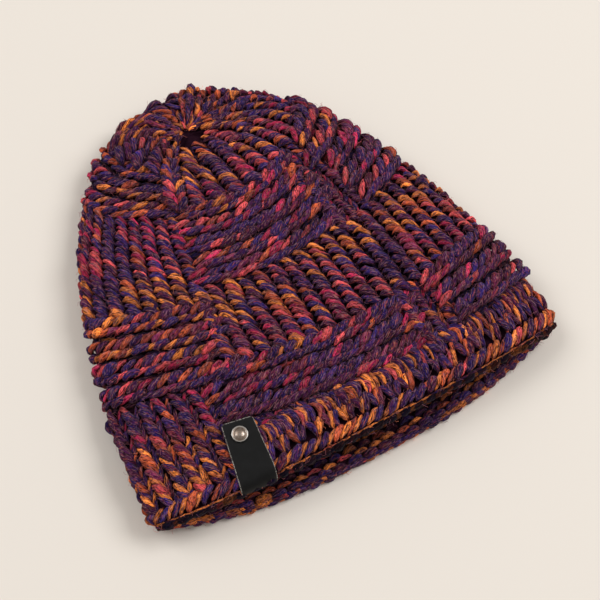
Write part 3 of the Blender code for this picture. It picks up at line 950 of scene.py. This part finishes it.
def ply_tree() -> bpy.types.NodeTree:
    """Tree that grows one bent, tapered ply of yarn on each point of a mesh.

    The points carry along and out (directions), size (length, width, thickness), arch (how far
    the middle of the ply stands off its chord), tint (with painted light as its alpha) and lot (a
    random number).

    Returns:
        The tree.
    """
    graph, given = new_tree("ply_of_yarn", {
        "Segments": ("NodeSocketInt", 8), "Sides": ("NodeSocketInt", 6),
        "Tip": ("NodeSocketFloat", 0.3), "Lumps": ("NodeSocketFloat", 0.0003),
        "Lump_Scale": ("NodeSocketFloat", 300.0), "Floor": ("NodeSocketFloat", 0.0),
        "Material": ("NodeSocketMaterial", None)})
    kinds = {"along": "FLOAT_VECTOR", "out": "FLOAT_VECTOR", "size": "FLOAT_VECTOR",
             "arch": "FLOAT_VECTOR", "run": "FLOAT", "rest": "FLOAT_VECTOR", "lot": "FLOAT"}
    named = {name: graph.node("GeometryNodeInputNamedAttribute", {"Name": name}, data_type=kind)
             for name, kind in kinds.items()}

    # One straight ply of length 1, round in section and drawn in at both ends
    line = graph.node("GeometryNodeCurvePrimitiveLine",
                      {"Start": (-0.5, 0.0, 0.0), "End": (0.5, 0.0, 0.0)})
    dotted = graph.node("GeometryNodeResampleCurve",
                        {"Curve": line, "Count": graph.math("ADD", given["Segments"], 1.0)})
    share = graph.node("GeometryNodeSplineParameter")
    from_middle = graph.math("MULTIPLY_ADD", share, 2.0, -1.0)
    squared = graph.math("POWER", graph.math("ABSOLUTE", from_middle), 2.0)
    bulge = graph.math("SQRT", graph.math("SUBTRACT", 1.0, squared))
    ring = graph.node("GeometryNodeCurvePrimitiveCircle",
                      {"Resolution": given["Sides"], "Radius": 0.5})
    tube = graph.node("GeometryNodeCurveToMesh", {
        "Curve": graph.store(dotted, "run", share), "Profile Curve": ring,
        "Scale": graph.ramp(bulge, 0.0, 1.0, given["Tip"]), "Fill Caps": True})
    smooth = graph.node("GeometryNodeSetShadeSmooth", {"Geometry": tube})
    rested = graph.store(smooth, "rest", graph.node("GeometryNodeInputPosition"), "FLOAT_VECTOR")

    # A copy on each point, then bent, made lumpy and kept above the floor
    laid = graph.node("GeometryNodeInstanceOnPoints", {
        "Points": given["Geometry"], "Instance": rested,
        "Rotation": graph.turned(named["along"], named["out"]), "Scale": named["size"]})
    real = graph.node("GeometryNodeRealizeInstances", {"Geometry": laid})
    off = graph.math("MULTIPLY_ADD", named["run"], 2.0, -1.0)
    bend = graph.math("SUBTRACT", 1.0, graph.math("MULTIPLY", off, off))
    bent = graph.node("GeometryNodeSetPosition",
                      {"Geometry": real, "Offset": graph.scaled(named["arch"], bend)})
    lumps = graph.noise(graph.node("GeometryNodeInputPosition"), given["Lump_Scale"], 1.0,
                        output="Color")
    centred = graph.vector("SUBTRACT", lumps, (0.5, 0.5, 0.5))
    stray = graph.scaled(centred, graph.math("MULTIPLY", given["Lumps"], 4.0))
    lumpy = graph.node("GeometryNodeSetPosition", {"Geometry": bent, "Offset": stray})
    last = graph.kept_above(lumpy, given["Floor"])

    # Attributes that the wool's material reads, the painted shade among them
    slid = graph.node("ShaderNodeCombineXYZ", {0: named["lot"]})
    place = graph.vector("MULTIPLY_ADD", named["rest"], named["size"], slid)
    last = graph.store(last, "fibre", place, "FLOAT_VECTOR")
    # Painted shade: shade darkens each ply's lower side and its ends, where it dives into the
    # knit.
    side = graph.ramp(graph.node("ShaderNodeSeparateXYZ", {0: named["rest"]}, "Z"), -0.45, 0.25)
    shade = graph.math("MULTIPLY", side, graph.ramp(bend, 0.0, 0.45, 0.1))
    last = graph.store(last, "shade", shade, "FLOAT_COLOR")
    for name in ("along", "size", "arch", "run", "rest", "lot"):
        last = graph.node("GeometryNodeRemoveAttribute", {"Geometry": last, "Name": name})
    return graph.close(last, given["Material"])


@dataclass(frozen=True)
class Fuzz:
    """Loose fibres that stand off the yarn."""

    count: int = 15500
    length: tuple[float, float] = (1.5 * MM, 4.2 * MM)
    thickness: float = 0.085 * MM
    rise: float = 0.42              # height of a fibre's arch, as a share of its length

    def tree(self) -> bpy.types.NodeTree:
        """Tree that grows bent fibres on a mesh."""
        graph, given = new_tree("loose_fibres", {
            "Density": ("NodeSocketFloat", 1000.0), "Seed": ("NodeSocketInt", SEED),
            "Shortest": ("NodeSocketFloat", self.length[0]),
            "Longest": ("NodeSocketFloat", self.length[1]),
            "Thickness": ("NodeSocketFloat", self.thickness / self.length[1]),
            "Rise": ("NodeSocketFloat", self.rise), "Floor": ("NodeSocketFloat", 0.0),
            "Material": ("NodeSocketMaterial", None)})
        roots = add_node(graph.tree, "GeometryNodeDistributePointsOnFaces", {}, {
            "Mesh": given["Geometry"], "Density": given["Density"],
            "Seed": given["Seed"]}).outputs
        middle = graph.node("ShaderNodeCombineXYZ", {0: 0.5, 2: given["Rise"]})
        arch = graph.node("GeometryNodeCurveQuadraticBezier", {
            "Resolution": 4, "Start": (0.0, 0.0, -0.03), "Middle": middle,
            "End": (1.0, 0.12, 0.02)})
        bent = graph.node("GeometryNodeResampleCurve", {"Curve": arch, "Count": 3})
        ring = graph.node("GeometryNodeCurvePrimitiveCircle",
                          {"Resolution": 3, "Radius": given["Thickness"]})
        hair = graph.node("GeometryNodeCurveToMesh", {"Curve": bent, "Profile Curve": ring})
        chance = graph.node("FunctionNodeRandomValue", {
            0: (-1.0, -1.0, -1.0), 1: (1.0, 1.0, 1.0), "Seed": given["Seed"]},
            data_type="FLOAT_VECTOR")
        flat = graph.vector("CROSS_PRODUCT", roots["Normal"], chance)
        length = graph.node("FunctionNodeRandomValue", {
            2: given["Shortest"], 3: given["Longest"], "Seed": given["Seed"]}, 1,
            data_type="FLOAT")
        laid = graph.node("GeometryNodeInstanceOnPoints", {
            "Points": roots["Points"],
            "Instance": graph.node("GeometryNodeSetShadeSmooth", {"Geometry": hair}),
            "Rotation": graph.turned(flat, roots["Normal"]), "Scale": length})
        real = graph.node("GeometryNodeRealizeInstances", {"Geometry": laid})
        return graph.close(graph.kept_above(real, given["Floor"]), given["Material"])

    def build(self, yarns: Sequence[bpy.types.Object],
              material: bpy.types.Material) -> bpy.types.Object:
        """Grow the fibres on the yarn.

        Args:
            yarns: pieces of yarn that they stand on.
            material: finish of the fibres.

        Returns:
            One piece with every loose fibre.
        """
        shape = bmesh.new()
        for yarn in yarns:
            shape.from_mesh(yarn.data)
        mesh = bpy.data.meshes.new("fuzz_roots")
        shape.to_mesh(mesh)
        area = sum(face.calc_area() for face in shape.faces)
        shape.free()
        grown = run_tree("wool_fuzz", mesh, self.tree(),
                         {"Density": self.count / area, "Material": material})
        return add_object("wool_fuzz", grown)


def point_mesh(name: str, places: Array, values: dict[str, tuple[str, Array]]) -> bpy.types.Mesh:
    """Mesh of loose points with attributes.

    Args:
        name: name of the mesh.
        places: one row of three numbers for each point.
        values: attribute type and numbers for each attribute's name.

    Returns:
        The mesh.
    """
    mesh = bpy.data.meshes.new(name)
    mesh.vertices.add(len(places))
    mesh.vertices.foreach_set("co", places.astype(np.float32).ravel())
    for label, (kind, numbers) in values.items():
        attribute = mesh.attributes.new(label, kind, "POINT")
        slot = {"FLOAT": "value", "FLOAT_VECTOR": "vector", "FLOAT_COLOR": "color"}[kind]
        attribute.data.foreach_set(slot, numbers.astype(np.float32).ravel())
    return mesh


@dataclass
class Plies:
    """Plies gathered for one piece: three points, a normal, a thickness and a tint each."""

    rows: list[tuple[Array, ...]] = field(default_factory=list)

    def add(self, points: Sequence[Array], out: Array, thick: Array, tint: Array) -> None:
        """Add plies.

        Args:
            points: starts, middles and ends.
            out: normals of the knit.
            thick: thicknesses in metres.
            tint: linear colours, with the painted share of light as alpha.
        """
        self.rows.append((*points, out, thick, tint))

    def mesh(self, name: str, yarn: Yarn, tree: bpy.types.NodeTree,
             material: bpy.types.Material, rng: np.random.Generator) -> bpy.types.Mesh:
        """Grow the plies.

        Args:
            name: name of the piece.
            yarn: sizes of the yarn.
            tree: the ply tree.
            material: finish of the wool.
            rng: source of the fibre offsets.

        Returns:
            One mesh with every ply of the piece.
        """
        start, middle, end, out, thick, tint = (
            np.concatenate(column) for column in zip(*self.rows))
        centre = (start + end) / 2
        chord = end - start
        size = np.stack([np.linalg.norm(chord, axis=-1), thick, thick * yarn.flatness], -1)
        along = unit(chord)
        normal = unit(out - (out * along).sum(-1, keepdims=True) * along)
        points = point_mesh(name, centre, {
            "along": ("FLOAT_VECTOR", along), "out": ("FLOAT_VECTOR", normal),
            "size": ("FLOAT_VECTOR", size), "arch": ("FLOAT_VECTOR", middle - centre),
            "tint": ("FLOAT_COLOR", tint), "lot": ("FLOAT", rng.random(len(centre)))})
        sizes = {"Segments": yarn.segments, "Sides": yarn.sides, "Tip": yarn.tip,
                 "Lumps": yarn.lumps, "Material": material}
        return run_tree(name, points, tree, sizes)


# The knit


class Knit:
    """The knitted hat: its ground, its stitches inside and out, and the chain at its rim."""

    EDGE_STITCHES = 62        # round the rim's edge
    STRIPE_BLUR = 0.006       # how raggedly a stripe of colour ends, as a share of the climb
    CROWDING = (0.55, 1.15)   # thinnest and thickest that stitches get where the hat narrows
    HEIGHT = 0.235            # length of the fabric from the rim to the gather, in metres
    LAST = 0.992              # climb past which no stitch is laid
    PICK_STEP = 0.37          # so that the plies of a stitch differ in colour
    DEEPEST_LIGHT = 0.22      # share of light that gets to the bottom of the knit, painted into the colour
    LIGHT_GAIN = 0.90         # more of that painted light for each ply's height
    INNER_LIGHT = 0.7         # share of painted light inside the rim
    INNER_LIGHT_FALLOFF = 20.0       # how fast that painted light fades up the climb
    INNER_DEEPEST = 0.2       # climb where the painted light stops fading
    CHAIN_HEIGHT = 1.4        # in millimetres
    GROUND_DEPTH = 3.3 * MM   # ground below the fabric's outer face

    def __init__(self, form: HatForm, yarn: Yarn, tag: "TagFrame") -> None:
        """Work out the faces of the fabric.

        Args:
            form: form of the hat.
            yarn: sizes of the yarn.
            tag: frame of the tag, under which the stitches are pressed flat.
        """
        self.form, self.yarn, self.tag = form, yarn, tag
        self.outer = Fabric(form, 0.0)
        self.inner = Fabric(form, form.wall, facing=-1.0)
        self.tree = ply_tree()
        self.rng = np.random.default_rng(SEED)

    def tints(self, turn: Array, climb: Array, bright: bool, pick: Array) -> Array:
        """Dyed colour of each ply.

        Args:
            turn: shares of the turn.
            climb: shares of the climb.
            bright: whether it is the ply that changes colour along the yarn.
            pick: where in its lot each ply falls, 0 to 1.

        Returns:
            Linear colours with alpha.
        """
        lots = list(Lot)
        lot = np.full(len(turn), lots.index(Lot.NIGHT))
        strays = self.rng.random(len(turn)) < self.yarn.stray_tint
        edge = self.rng.normal(0.0, self.STRIPE_BLUR, len(turn))
        for stripe in STRIPES:
            inside = (turn % 1.0 >= stripe.first) & (turn % 1.0 <= stripe.last)
            inside &= (climb + edge >= stripe.low) & (climb + edge <= stripe.high)
            inside &= bright | strays
            lot[inside] = lots.index(stripe.lot)
        colour = np.zeros((len(turn), 4))
        for index, shares in enumerate(lots):
            bounds = np.cumsum([share for _, share in shares.value])
            choice = np.searchsorted(bounds, pick * bounds[-1])
            palette = np.array([linear(tint.value) for tint, _ in shares.value])
            members = lot == index
            colour[members] = palette[choice[members]]
        colour[:, :3] *= np.exp(self.rng.normal(0.0, self.yarn.fading, (len(turn), 1)))
        return colour

    def cells(self, patch: Patch) -> tuple[Array, Array, float, float]:
        """Middles and sizes of a patch's stitches.

        Args:
            patch: the block of stitches.

        Returns:
            Turns and climbs as rows by columns, and a cell's share of the turn and climb.
        """
        span, rise = patch.last - patch.first, patch.high - patch.low
        lying = patch.stitch in LYING
        across = round(span * (patch.rows if lying else patch.columns))
        along = patch.columns if lying else patch.rows
        share = (np.arange(across) + 0.5) / across
        row = (np.arange(along) + 0.5) / along
        turn, climb = np.meshgrid(patch.first + span * share, patch.low + rise * row)
        climb = climb - share * (patch.fall + (patch.top_fall - patch.fall) * row[:, None])
        if lying:
            turn = turn + (self.rng.random((along, 1)) - 0.5) * span / across
        return turn, climb, span / across, rise / along

    def picks(self, shape: tuple[int, int], lying: bool) -> Array:
        """Random numbers that often stay the same from one stitch of a column to the next."""
        pick = self.rng.random(shape)
        again = self.rng.random(shape) < self.yarn.colour_run
        rows, repeats = (pick.T, again.T) if lying else (pick, again)
        for row in range(1, len(rows)):
            rows[row] = np.where(repeats[row], rows[row - 1], rows[row])
        return pick.ravel()

    def raised(self, place: Array, normal: Array, rise: Array) -> Array:
        """Places lifted off the knit, but no further than the tag leaves room.

        Args:
            place: places on the knit.
            normal: their normals.
            rise: how far they are lifted, in millimetres.

        Returns:
            The lifted places.
        """
        room = self.tag.room(place, normal) - self.yarn.ply / 2
        return place + normal * np.minimum(rise * MM, room)[:, None]

    def lay(self, patch: Patch, fabric: Fabric, plies: Plies) -> None:
        """Lay the stitches of one patch.

        Args:
            patch: the block of stitches.
            fabric: face that they stand on.
            plies: where their plies are gathered.
        """
        turn, climb, wide, tall = self.cells(patch)
        lying = patch.stitch in LYING
        shape, turn, climb = turn.shape, turn.ravel(), climb.ravel()
        girth = fabric.girth_at(climb)
        crowd = np.clip(girth * wide / self.yarn.gauge, *self.CROWDING)
        if lying:
            crowd = np.ones_like(crowd)
        stray = self.yarn.wander * LOOSE.get(patch.stitch, 1.0)
        sway = self.rng.normal(0.0, stray, (len(turn), 2))
        pick = self.picks(shape, lying)
        for number, leg in enumerate(LEGS[patch.stitch]):
            wobble = self.rng.normal(0.0, stray, (len(turn), 3, 2))
            swell = np.exp(self.rng.normal(0.0, self.yarn.swell, len(turn)))
            points, normals = [], []
            for step, (across, along, lift) in enumerate(leg.knots()):
                at_turn = turn + across * wide + (sway[:, 0] + wobble[:, step, 0]) / girth
                strayed = sway[:, 1] + wobble[:, step, 1]
                at_climb = np.minimum(climb + along * tall + strayed / self.HEIGHT, self.LAST)
                place, normal = fabric.place(at_turn, at_climb)
                rise = patch.stand + patch.height * lift * swell * crowd
                points.append(self.raised(place, normal, rise))
                normals.append(normal)
            thick = self.yarn.ply * leg.thick * swell * crowd
            tint = self.tints(turn, climb, leg.bright, (pick + self.PICK_STEP * number) % 1.0)
            # The tint's alpha is painted light: plies that lie low in the knit get less of it,
            # and those inside the rim less again, fading up the climb as painted shade.
            tint[:, 3] = min(1.0, self.DEEPEST_LIGHT + self.LIGHT_GAIN * max(leg.lifts))
            if fabric is self.inner:
                depth = np.clip(climb, 0.0, self.INNER_DEEPEST)
                tint[:, 3] *= self.INNER_LIGHT * np.exp(-self.INNER_LIGHT_FALLOFF * depth)
            plies.add(points, normals[1], thick, tint)

    def build_stitches(self, material: bpy.types.Material) -> dict[str, bpy.types.Object]:
        """Every stitch of the hat, in one piece for each group of patches."""
        made = {}
        for piece, patches in PATCHES.items():
            plies = Plies()
            for patch in patches:
                self.lay(patch, self.inner if piece == INNER else self.outer, plies)
            mesh = plies.mesh(piece, self.yarn, self.tree, material, self.rng)
            made[piece] = add_object(piece, mesh)
        return made

    def lip(self, turn: Array, angle: Array) -> tuple[Array, Array]:
        """Points and normals of the rim's rounded edge.

        Args:
            turn: shares of the turn.
            angle: 0 on the outer face, half a turn on the inner one.

        Returns:
            Places and unit normals.
        """
        rim = np.zeros_like(turn)
        outer, _ = self.outer.place(turn, rim)
        inner, _ = self.inner.place(turn, rim)
        ahead, _ = self.outer.place(turn, rim + 0.02)
        middle = (outer + inner) / 2
        half = np.linalg.norm(outer - inner, axis=-1, keepdims=True) / 2
        face = unit(outer - inner)
        front = unit(outer - ahead)
        front = unit(front - (front * face).sum(-1, keepdims=True) * face)
        normal = face * np.cos(angle)[:, None] + front * np.sin(angle)[:, None]
        return middle + half * normal, normal

    def build_chain(self, material: bpy.types.Material) -> bpy.types.Object:
        """Edge of the rim: thin strand and chains that lie round its rounded lip."""
        plies = Plies()
        girth = self.outer.girth[0]
        for row in EDGE_ROWS:
            turn = np.arange(row.first, row.last, 1 / self.EDGE_STITCHES)
            stitches = len(turn)
            for leg in LEGS[row.stitch]:
                wobble = self.rng.normal(0.0, self.yarn.wander, (stitches, 3))
                swell = np.exp(self.rng.normal(0.0, self.yarn.swell, stitches))
                points, normals = [], []
                for step, (along, across, lift) in enumerate(leg.knots()):
                    at = turn + along / self.EDGE_STITCHES + wobble[:, step] / girth
                    angle = np.full(stitches, (row.centre - across * row.spread) * np.pi)
                    place, normal = self.lip(at, angle)
                    rise = row.stand + self.CHAIN_HEIGHT * lift * swell
                    points.append(self.raised(place, normal, rise))
                    normals.append(normal)
                thick = self.yarn.ply * leg.thick * swell
                pick = self.picks((1, stitches), True)
                tint = self.tints(turn, np.zeros(stitches), leg.bright, pick)
                # The alpha is the row's painted light.
                tint[:, 3] = row.lit
                plies.add(points, normals[1], thick, tint)
        mesh = plies.mesh("rim_chain", self.yarn, self.tree, material, self.rng)
        return add_object("rim_chain", mesh)

    def build_ground(self, material: bpy.types.Material) -> bpy.types.Object:
        """Closed wall of packed loops that the stitches stand on."""
        sunk, inner = (Fabric(self.form, inset, turns=160, climbs=60)
                       for inset in (self.GROUND_DEPTH, self.form.wall))
        rows = [sunk.grid[-1][:1], *sunk.grid[-2::-1], *inner.grid[:-1], inner.grid[-1][:1]]
        shape = bmesh.new()
        loft(shape, [[shape.verts.new(point) for point in row] for row in rows])
        return add_shape("knit_ground", shape, material)


# The tag and its rivet


class TagFrame:
    """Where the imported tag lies: its axes, its leaves and its fold."""

    TURN = 10.0          # degrees about the vertical
    THICKNESS = 1.4 * MM
    MARGIN = 1.5 * MM    # kept free round the tag
    DEPTH = 2.0 * MM     # how far below the tag the knit still counts as under it
    LEAF = 12 * MM       # length at the top of the front leaf that lies flat
    FACING = 0.2         # least share by which a normal faces the tag

    def __init__(self) -> None:
        """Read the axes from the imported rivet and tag."""
        rivet = np.array([v.co for v in frame["nodes"]["rivet"].data.vertices])
        tag = np.array([v.co for v in frame["nodes"]["leather_tag"].data.vertices])
        centred = rivet - rivet.mean(0)
        _, _, axes = np.linalg.svd(centred, full_matrices=False)
        normal = axes[0] * np.sign(axes[0][2])
        turn = np.radians(self.TURN)
        along = np.array([np.sin(turn), np.cos(turn), 0.0])
        along = unit(along - (along @ normal) * normal)
        self.axes = np.stack([np.cross(along, normal), along, normal])
        self.origin = (rivet @ self.axes.T).mean(0) @ self.axes
        self.points = (tag - self.origin) @ self.axes.T
        self.rivet_points = (rivet - self.origin) @ self.axes.T

    def local(self, points: Array) -> Array:
        """Points in the tag's axes, from the rivet's middle."""
        return (points - self.origin) @ self.axes.T

    def room(self, points: Array, normals: Array) -> Array:
        """How far the knit may rise before it meets the tag.

        Args:
            points: places on the knit.
            normals: their normals.

        Returns:
            A length for each point, large where there is no tag above it.
        """
        place = self.local(points)
        low, high = self.points.min(0), self.points.max(0)
        low, high = low - self.MARGIN, high + self.MARGIN
        inside = (place[:, 0] > low[0]) & (place[:, 0] < high[0]) & (place[:, 1] < high[1])
        inside &= place[:, 2] > low[2] + self.MARGIN - self.DEPTH
        facing = normals @ self.axes[2]
        gap = (self.top() - self.THICKNESS - place[:, 2]) / np.maximum(facing, self.FACING)
        return np.where(inside & (facing > self.FACING), gap, 1.0)

    def top(self) -> float:
        """Height of the front leaf's outer face."""
        return self.points[self.points[:, 1] > self.points[:, 1].max() - self.LEAF][:, 2].max()


@dataclass
class LeatherTag:
    """Folded leather tag, with softly rounded faces and raw cut edges."""

    frame: TagFrame
    width: float = 19.6 * MM
    thickness: float = 1.4 * MM
    corner: float = 1.6 * MM
    bow: float = 0.35 * MM          # how far the front leaf bends off flat
    taper: float = 0.16             # share by which the front leaf's end is narrower
    skew: float = 0.15              # slope of the fold across the tag
    short: float = 2.6 * MM         # how much closer than the solid it hugs the rim
    bevel: float = 0.28             # rounding of its edges, as a share of its thickness
    reach: float = 9.5 * MM         # length of the bend round the rim
    bend_steps: int = 25
    bend_roundness: tuple[float, float] = (0.75, 0.9)
    ends: tuple[tuple[float, float, int], ...] = ((0.0, 0.12, 6), (0.16, 0.95, 12))
    waves: float = 1.3              # waves of the front leaf's bow
    taper_length: float = 28 * MM
    lean: float = 0.5               # how much of the taper is on the left edge alone
    skew_middle: float = 34 * MM    # from the front leaf's end
    skew_length: float = 30 * MM    # to either side of that
    crease: float = 40.0            # degrees

    def path(self) -> tuple[Array, Array]:
        """Middle line of the leather, from the front leaf's end round the rim to the back's.

        Returns:
            Places along and out of the tag, and their normals.
        """
        points = self.frame.points
        top, bottom = self.frame.top(), points[:, 2].min()
        half = self.thickness / 2
        front_end = points[:, 1].max()
        back_end = points[points[:, 2] < bottom + 1.4 * self.thickness][:, 1].max()
        fold = points[:, 1].min() + half + self.short
        upper, lower = top - half, bottom + half
        radius, middle = (upper - lower) / 2, (upper + lower) / 2
        straight = fold + self.reach
        angle = np.linspace(np.pi / 2, -np.pi / 2, self.bend_steps)
        ahead, aside = self.bend_roundness
        bend = np.stack([straight - self.reach * np.abs(np.cos(angle)) ** ahead,
                         middle + radius * np.sign(np.sin(angle))
                         * np.abs(np.sin(angle)) ** aside], -1)
        ends = np.concatenate([np.linspace(*part) for part in self.ends])
        wave = np.sin(2 * np.pi * self.waves * ends)
        front = np.stack([front_end + (straight - front_end) * ends,
                          upper + self.bow * wave * ends], -1)
        back = np.stack([straight + (back_end - straight) * (1 - ends[::-1]),
                         np.full(len(ends), lower)], -1)
        line = np.concatenate([front, bend[1:-1], back])
        way = unit(np.gradient(line, axis=0))
        return line, np.stack([-way[:, 1], way[:, 0]], -1) * -1

    def build(self, material: bpy.types.Material) -> bpy.types.Object:
        """The tag as one closed mesh with its cut edges marked.

        Args:
            material: finish of the leather.

        Returns:
            The tag.
        """
        line, out = self.path()
        steps = np.linalg.norm(np.diff(line, axis=0), axis=1)
        travelled = np.concatenate([[0.0], np.cumsum(steps)])
        to_end = np.minimum(travelled, travelled[-1] - travelled)
        inset = np.clip(1 - to_end / self.corner, 0.0, 1.0)
        to_fold = np.clip(1 - travelled / self.taper_length, 0.0, 1.0)
        half_width = self.width / 2 - self.corner * (1 - np.sqrt(1 - inset ** 2))
        half_width *= 1 - self.taper * to_fold
        from_skew = np.abs(travelled - self.skew_middle) / self.skew_length
        shear = self.skew * np.clip(1 - from_skew, 0.0, 1.0)
        lean = -self.lean * self.taper * to_fold * self.width / 2
        half = self.thickness / 2
        bevel = self.bevel * self.thickness
        centre = (self.frame.points[:, 0].min() + self.frame.points[:, 0].max()) / 2
        across = np.concatenate([[-0.955], np.linspace(-0.8, 0.8, 7), [0.955]])
        profile = [(1.0, 0.0, half - bevel), (1.0, -bevel, half)]
        profile += [(step, 0.0, half) for step in across[::-1]]
        profile += [(-1.0, bevel, half), (-1.0, 0.0, half - bevel), (-1.0, 0.0, bevel - half),
                    (-1.0, bevel, -half)]
        profile += [(step, 0.0, -half) for step in across]
        profile += [(1.0, -bevel, -half), (1.0, 0.0, bevel - half)]
        marks = [1.0 if abs(share) == 1.0 else 0.0 for share, _, _ in profile]
        shape = bmesh.new()
        edge = shape.verts.layers.float.new("edge")
        rings = []
        for place, normal, width, slope, off in zip(line, out, half_width, shear, lean):
            ring = []
            for (share, shift, rise), mark in zip(profile, marks):
                local = np.array([centre + off + share * width + shift,
                                  place[0] + slope * share * width + normal[0] * rise,
                                  place[1] + normal[1] * rise])
                vert = shape.verts.new(self.frame.origin + local @ self.frame.axes)
                vert[edge] = mark
                ring.append(vert)
            rings.append(ring)
        loft(shape, rings)
        for ring in (rings[0], rings[-1]):
            for vert in ring:
                vert[edge] = 1.0
            shape.faces.new(ring)
        return add_shape("tag_leather", shape, material, self.crease)


@dataclass
class Rivet:
    """Turned rivet: a rolled ring round a low dome, a post and a plain back."""

    frame: TagFrame
    segments: int = 48
    post: float = 1.5 * MM          # radius of the post
    back: float = 0.8 * MM          # thickness of the back
    rounding: float = 0.2 * MM      # of the back's edge
    back_flat: float = 0.9          # flat share of the back
    ring: float = 0.8               # share of the radius outside which the ring lies
    crease: float = 35.0            # degrees
    # Section of the cap: shares of its radius and of its rise
    cap: tuple[tuple[float, float], ...] = (
        (0.00, 1.00), (0.22, 0.97), (0.42, 0.86), (0.58, 0.66), (0.68, 0.46), (0.73, 0.38),
        (0.78, 0.42), (0.83, 0.60), (0.89, 0.68), (0.95, 0.60), (0.99, 0.38), (1.00, 0.15),
        (0.97, 0.00))

    def build(self, material: bpy.types.Material) -> bpy.types.Object:
        """The rivet as one closed mesh.

        Args:
            material: finish of the metal.

        Returns:
            The rivet.
        """
        points = self.frame.rivet_points
        radius = np.hypot(points[:, 0], points[:, 1])
        rim, top, bottom = radius.max(), points[:, 2].max(), points[:, 2].min()
        seat = points[radius > self.cap[-1][0] * rim][:, 2].min()
        back = radius[points[:, 2] < bottom + self.rounding + 0.1 * MM].max()
        outline = [(share * rim, seat + height * (top - seat)) for share, height in self.cap]
        outline += [(self.post, seat), (self.post, bottom + self.back),
                    (back, bottom + self.back), (back, bottom + self.rounding),
                    (self.back_flat * back, bottom), (0.0, bottom)]
        shape = bmesh.new()
        angle = np.linspace(0.0, 2 * np.pi, self.segments, endpoint=False)
        rings = []
        edge = shape.verts.layers.float.new("edge")
        for distance, height in outline:
            count = 1 if distance == 0.0 else self.segments
            local = np.stack([distance * np.cos(angle[:count]), distance * np.sin(angle[:count]),
                              np.full(count, height)], -1)
            rings.append([shape.verts.new(point)
                          for point in self.frame.origin + local @ self.frame.axes])
            for vert in rings[-1]:
                vert[edge] = float(distance > self.ring * rim)
        loft(shape, rings)
        return add_shape("tag_rivet", shape, material, self.crease)


# The stage


@dataclass(frozen=True)
class Studio:
    """Pale floor, soft light and the camera at the photograph's angle."""

    azimuth: float = -28.62
    elevation: float = 60.5
    distance: float = 0.800
    lens: float = 89.1
    target: tuple[float, float, float] = (0.0, -0.0032, 0.0150)
    focal: float = 1485.6                       # in pixels of the 600 pixel frame
    middle: tuple[float, float] = (32.1, 32.3)  # frame's middle, right of and below the target
    floor: float = 5.0                          # half its side
    floor_gap: float = 0.2 * MM                 # below the hat, so that no faces coincide
    sky: str = "eeeae6"
    sky_strength: float = 0.52

    def build(self) -> None:
        """Make the floor, the lights, the world and the camera."""
        mesh = bpy.data.meshes.new("floor")
        floor = bmesh.new()
        bmesh.ops.create_grid(floor, x_segments=1, y_segments=1, size=self.floor)
        bmesh.ops.translate(floor, verts=floor.verts, vec=(0.0, 0.0, -self.floor_gap))
        floor.to_mesh(mesh)
        floor.free()
        mesh.materials.append(LinenFinish().build())
        add_object("floor", mesh)
        self.add_light("key", (1.8, -0.5, 2.3), 1.6, 47.0)
        self.add_light("fill", (-1.4, 1.3, 2.6), 2.0, 37.0)
        world = bpy.data.worlds.new("studio")
        world.use_nodes = True
        sky = world.node_tree.nodes["Background"]
        set_inputs(world.node_tree, sky, {"Color": linear(self.sky),
                                          "Strength": self.sky_strength})
        bpy.context.scene.world = world
        bpy.context.scene.view_settings.view_transform = "Standard"
        self.add_camera()

    def add_light(self, name: str, place: tuple[float, float, float], size: float,
                  power: float) -> None:
        """Square area light aimed at the hat.

        Args:
            name: name of the light.
            place: where it stands.
            size: length of its side.
            power: in watts.
        """
        light = bpy.data.lights.new(name, "AREA")
        light.shape = "SQUARE"
        light.size = size
        light.energy = power
        lamp = bpy.data.objects.new(name, light)
        lamp.location = place
        aim = Vector(self.target) - Vector(place)
        lamp.rotation_euler = aim.to_track_quat("-Z", "Y").to_euler()
        bpy.context.scene.collection.objects.link(lamp)

    def add_camera(self) -> None:
        """Camera on the photograph's line of sight, turned to the frame's middle."""
        azimuth, elevation = np.radians(self.azimuth), np.radians(self.elevation)
        back = Vector((np.sin(azimuth) * np.cos(elevation), -np.cos(azimuth) * np.cos(elevation),
                       np.sin(elevation)))
        right = Vector((np.cos(azimuth), np.sin(azimuth), 0.0))
        up = back.cross(right)
        ahead = (-back * self.focal + right * self.middle[0] - up * self.middle[1]).normalized()
        side = (right - right.dot(ahead) * ahead).normalized()
        turned = Matrix((side, side.cross(ahead), -ahead)).transposed().to_4x4()
        turned.translation = Vector(self.target) + back * self.distance
        data = bpy.data.cameras.new("camera")
        data.lens = self.lens
        data.sensor_width = 36.0
        data.clip_start = 0.01
        camera = bpy.data.objects.new("camera", data)
        camera.matrix_world = turned
        bpy.context.scene.collection.objects.link(camera)
        bpy.context.scene.camera = camera


def main() -> None:
    """Build the beanie, its stage and its camera."""
    logging.basicConfig(level=logging.INFO, format="%(message)s")
    tag_frame = TagFrame()
    knit = Knit(HatForm(), Yarn(), tag_frame)
    wool = WoolFinish().build()
    pieces = knit.build_stitches(wool)
    pieces["rim_chain"] = knit.build_chain(wool)
    yarns = [piece for name, piece in pieces.items() if name != INNER]
    pieces["wool_fuzz"] = Fuzz().build(yarns, LooseFibreFinish().build())
    pieces["knit_ground"] = knit.build_ground(FeltedGroundFinish().build())
    for piece in pieces.values():
        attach(piece, "root")
    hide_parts("rim_band", "knit_body", "knit_crown")
    pieces["tag_leather"] = LeatherTag(tag_frame).build(LeatherFinish().build())
    pieces["tag_rivet"] = Rivet(tag_frame).build(RivetFinish().build())
    for name, node, slot in (("tag_leather", "leather_tag", "tag_leather"),
                             ("tag_rivet", "rivet", "rivet_steel")):
        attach(pieces[name], "root")
        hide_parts(node)
    for name, piece in pieces.items():
        count = sum(len(face.vertices) - 2 for face in piece.data.polygons)
        log.info("%s: %d triangles", name, count)
    Studio().build()


if __name__ == "__main__":
    main()
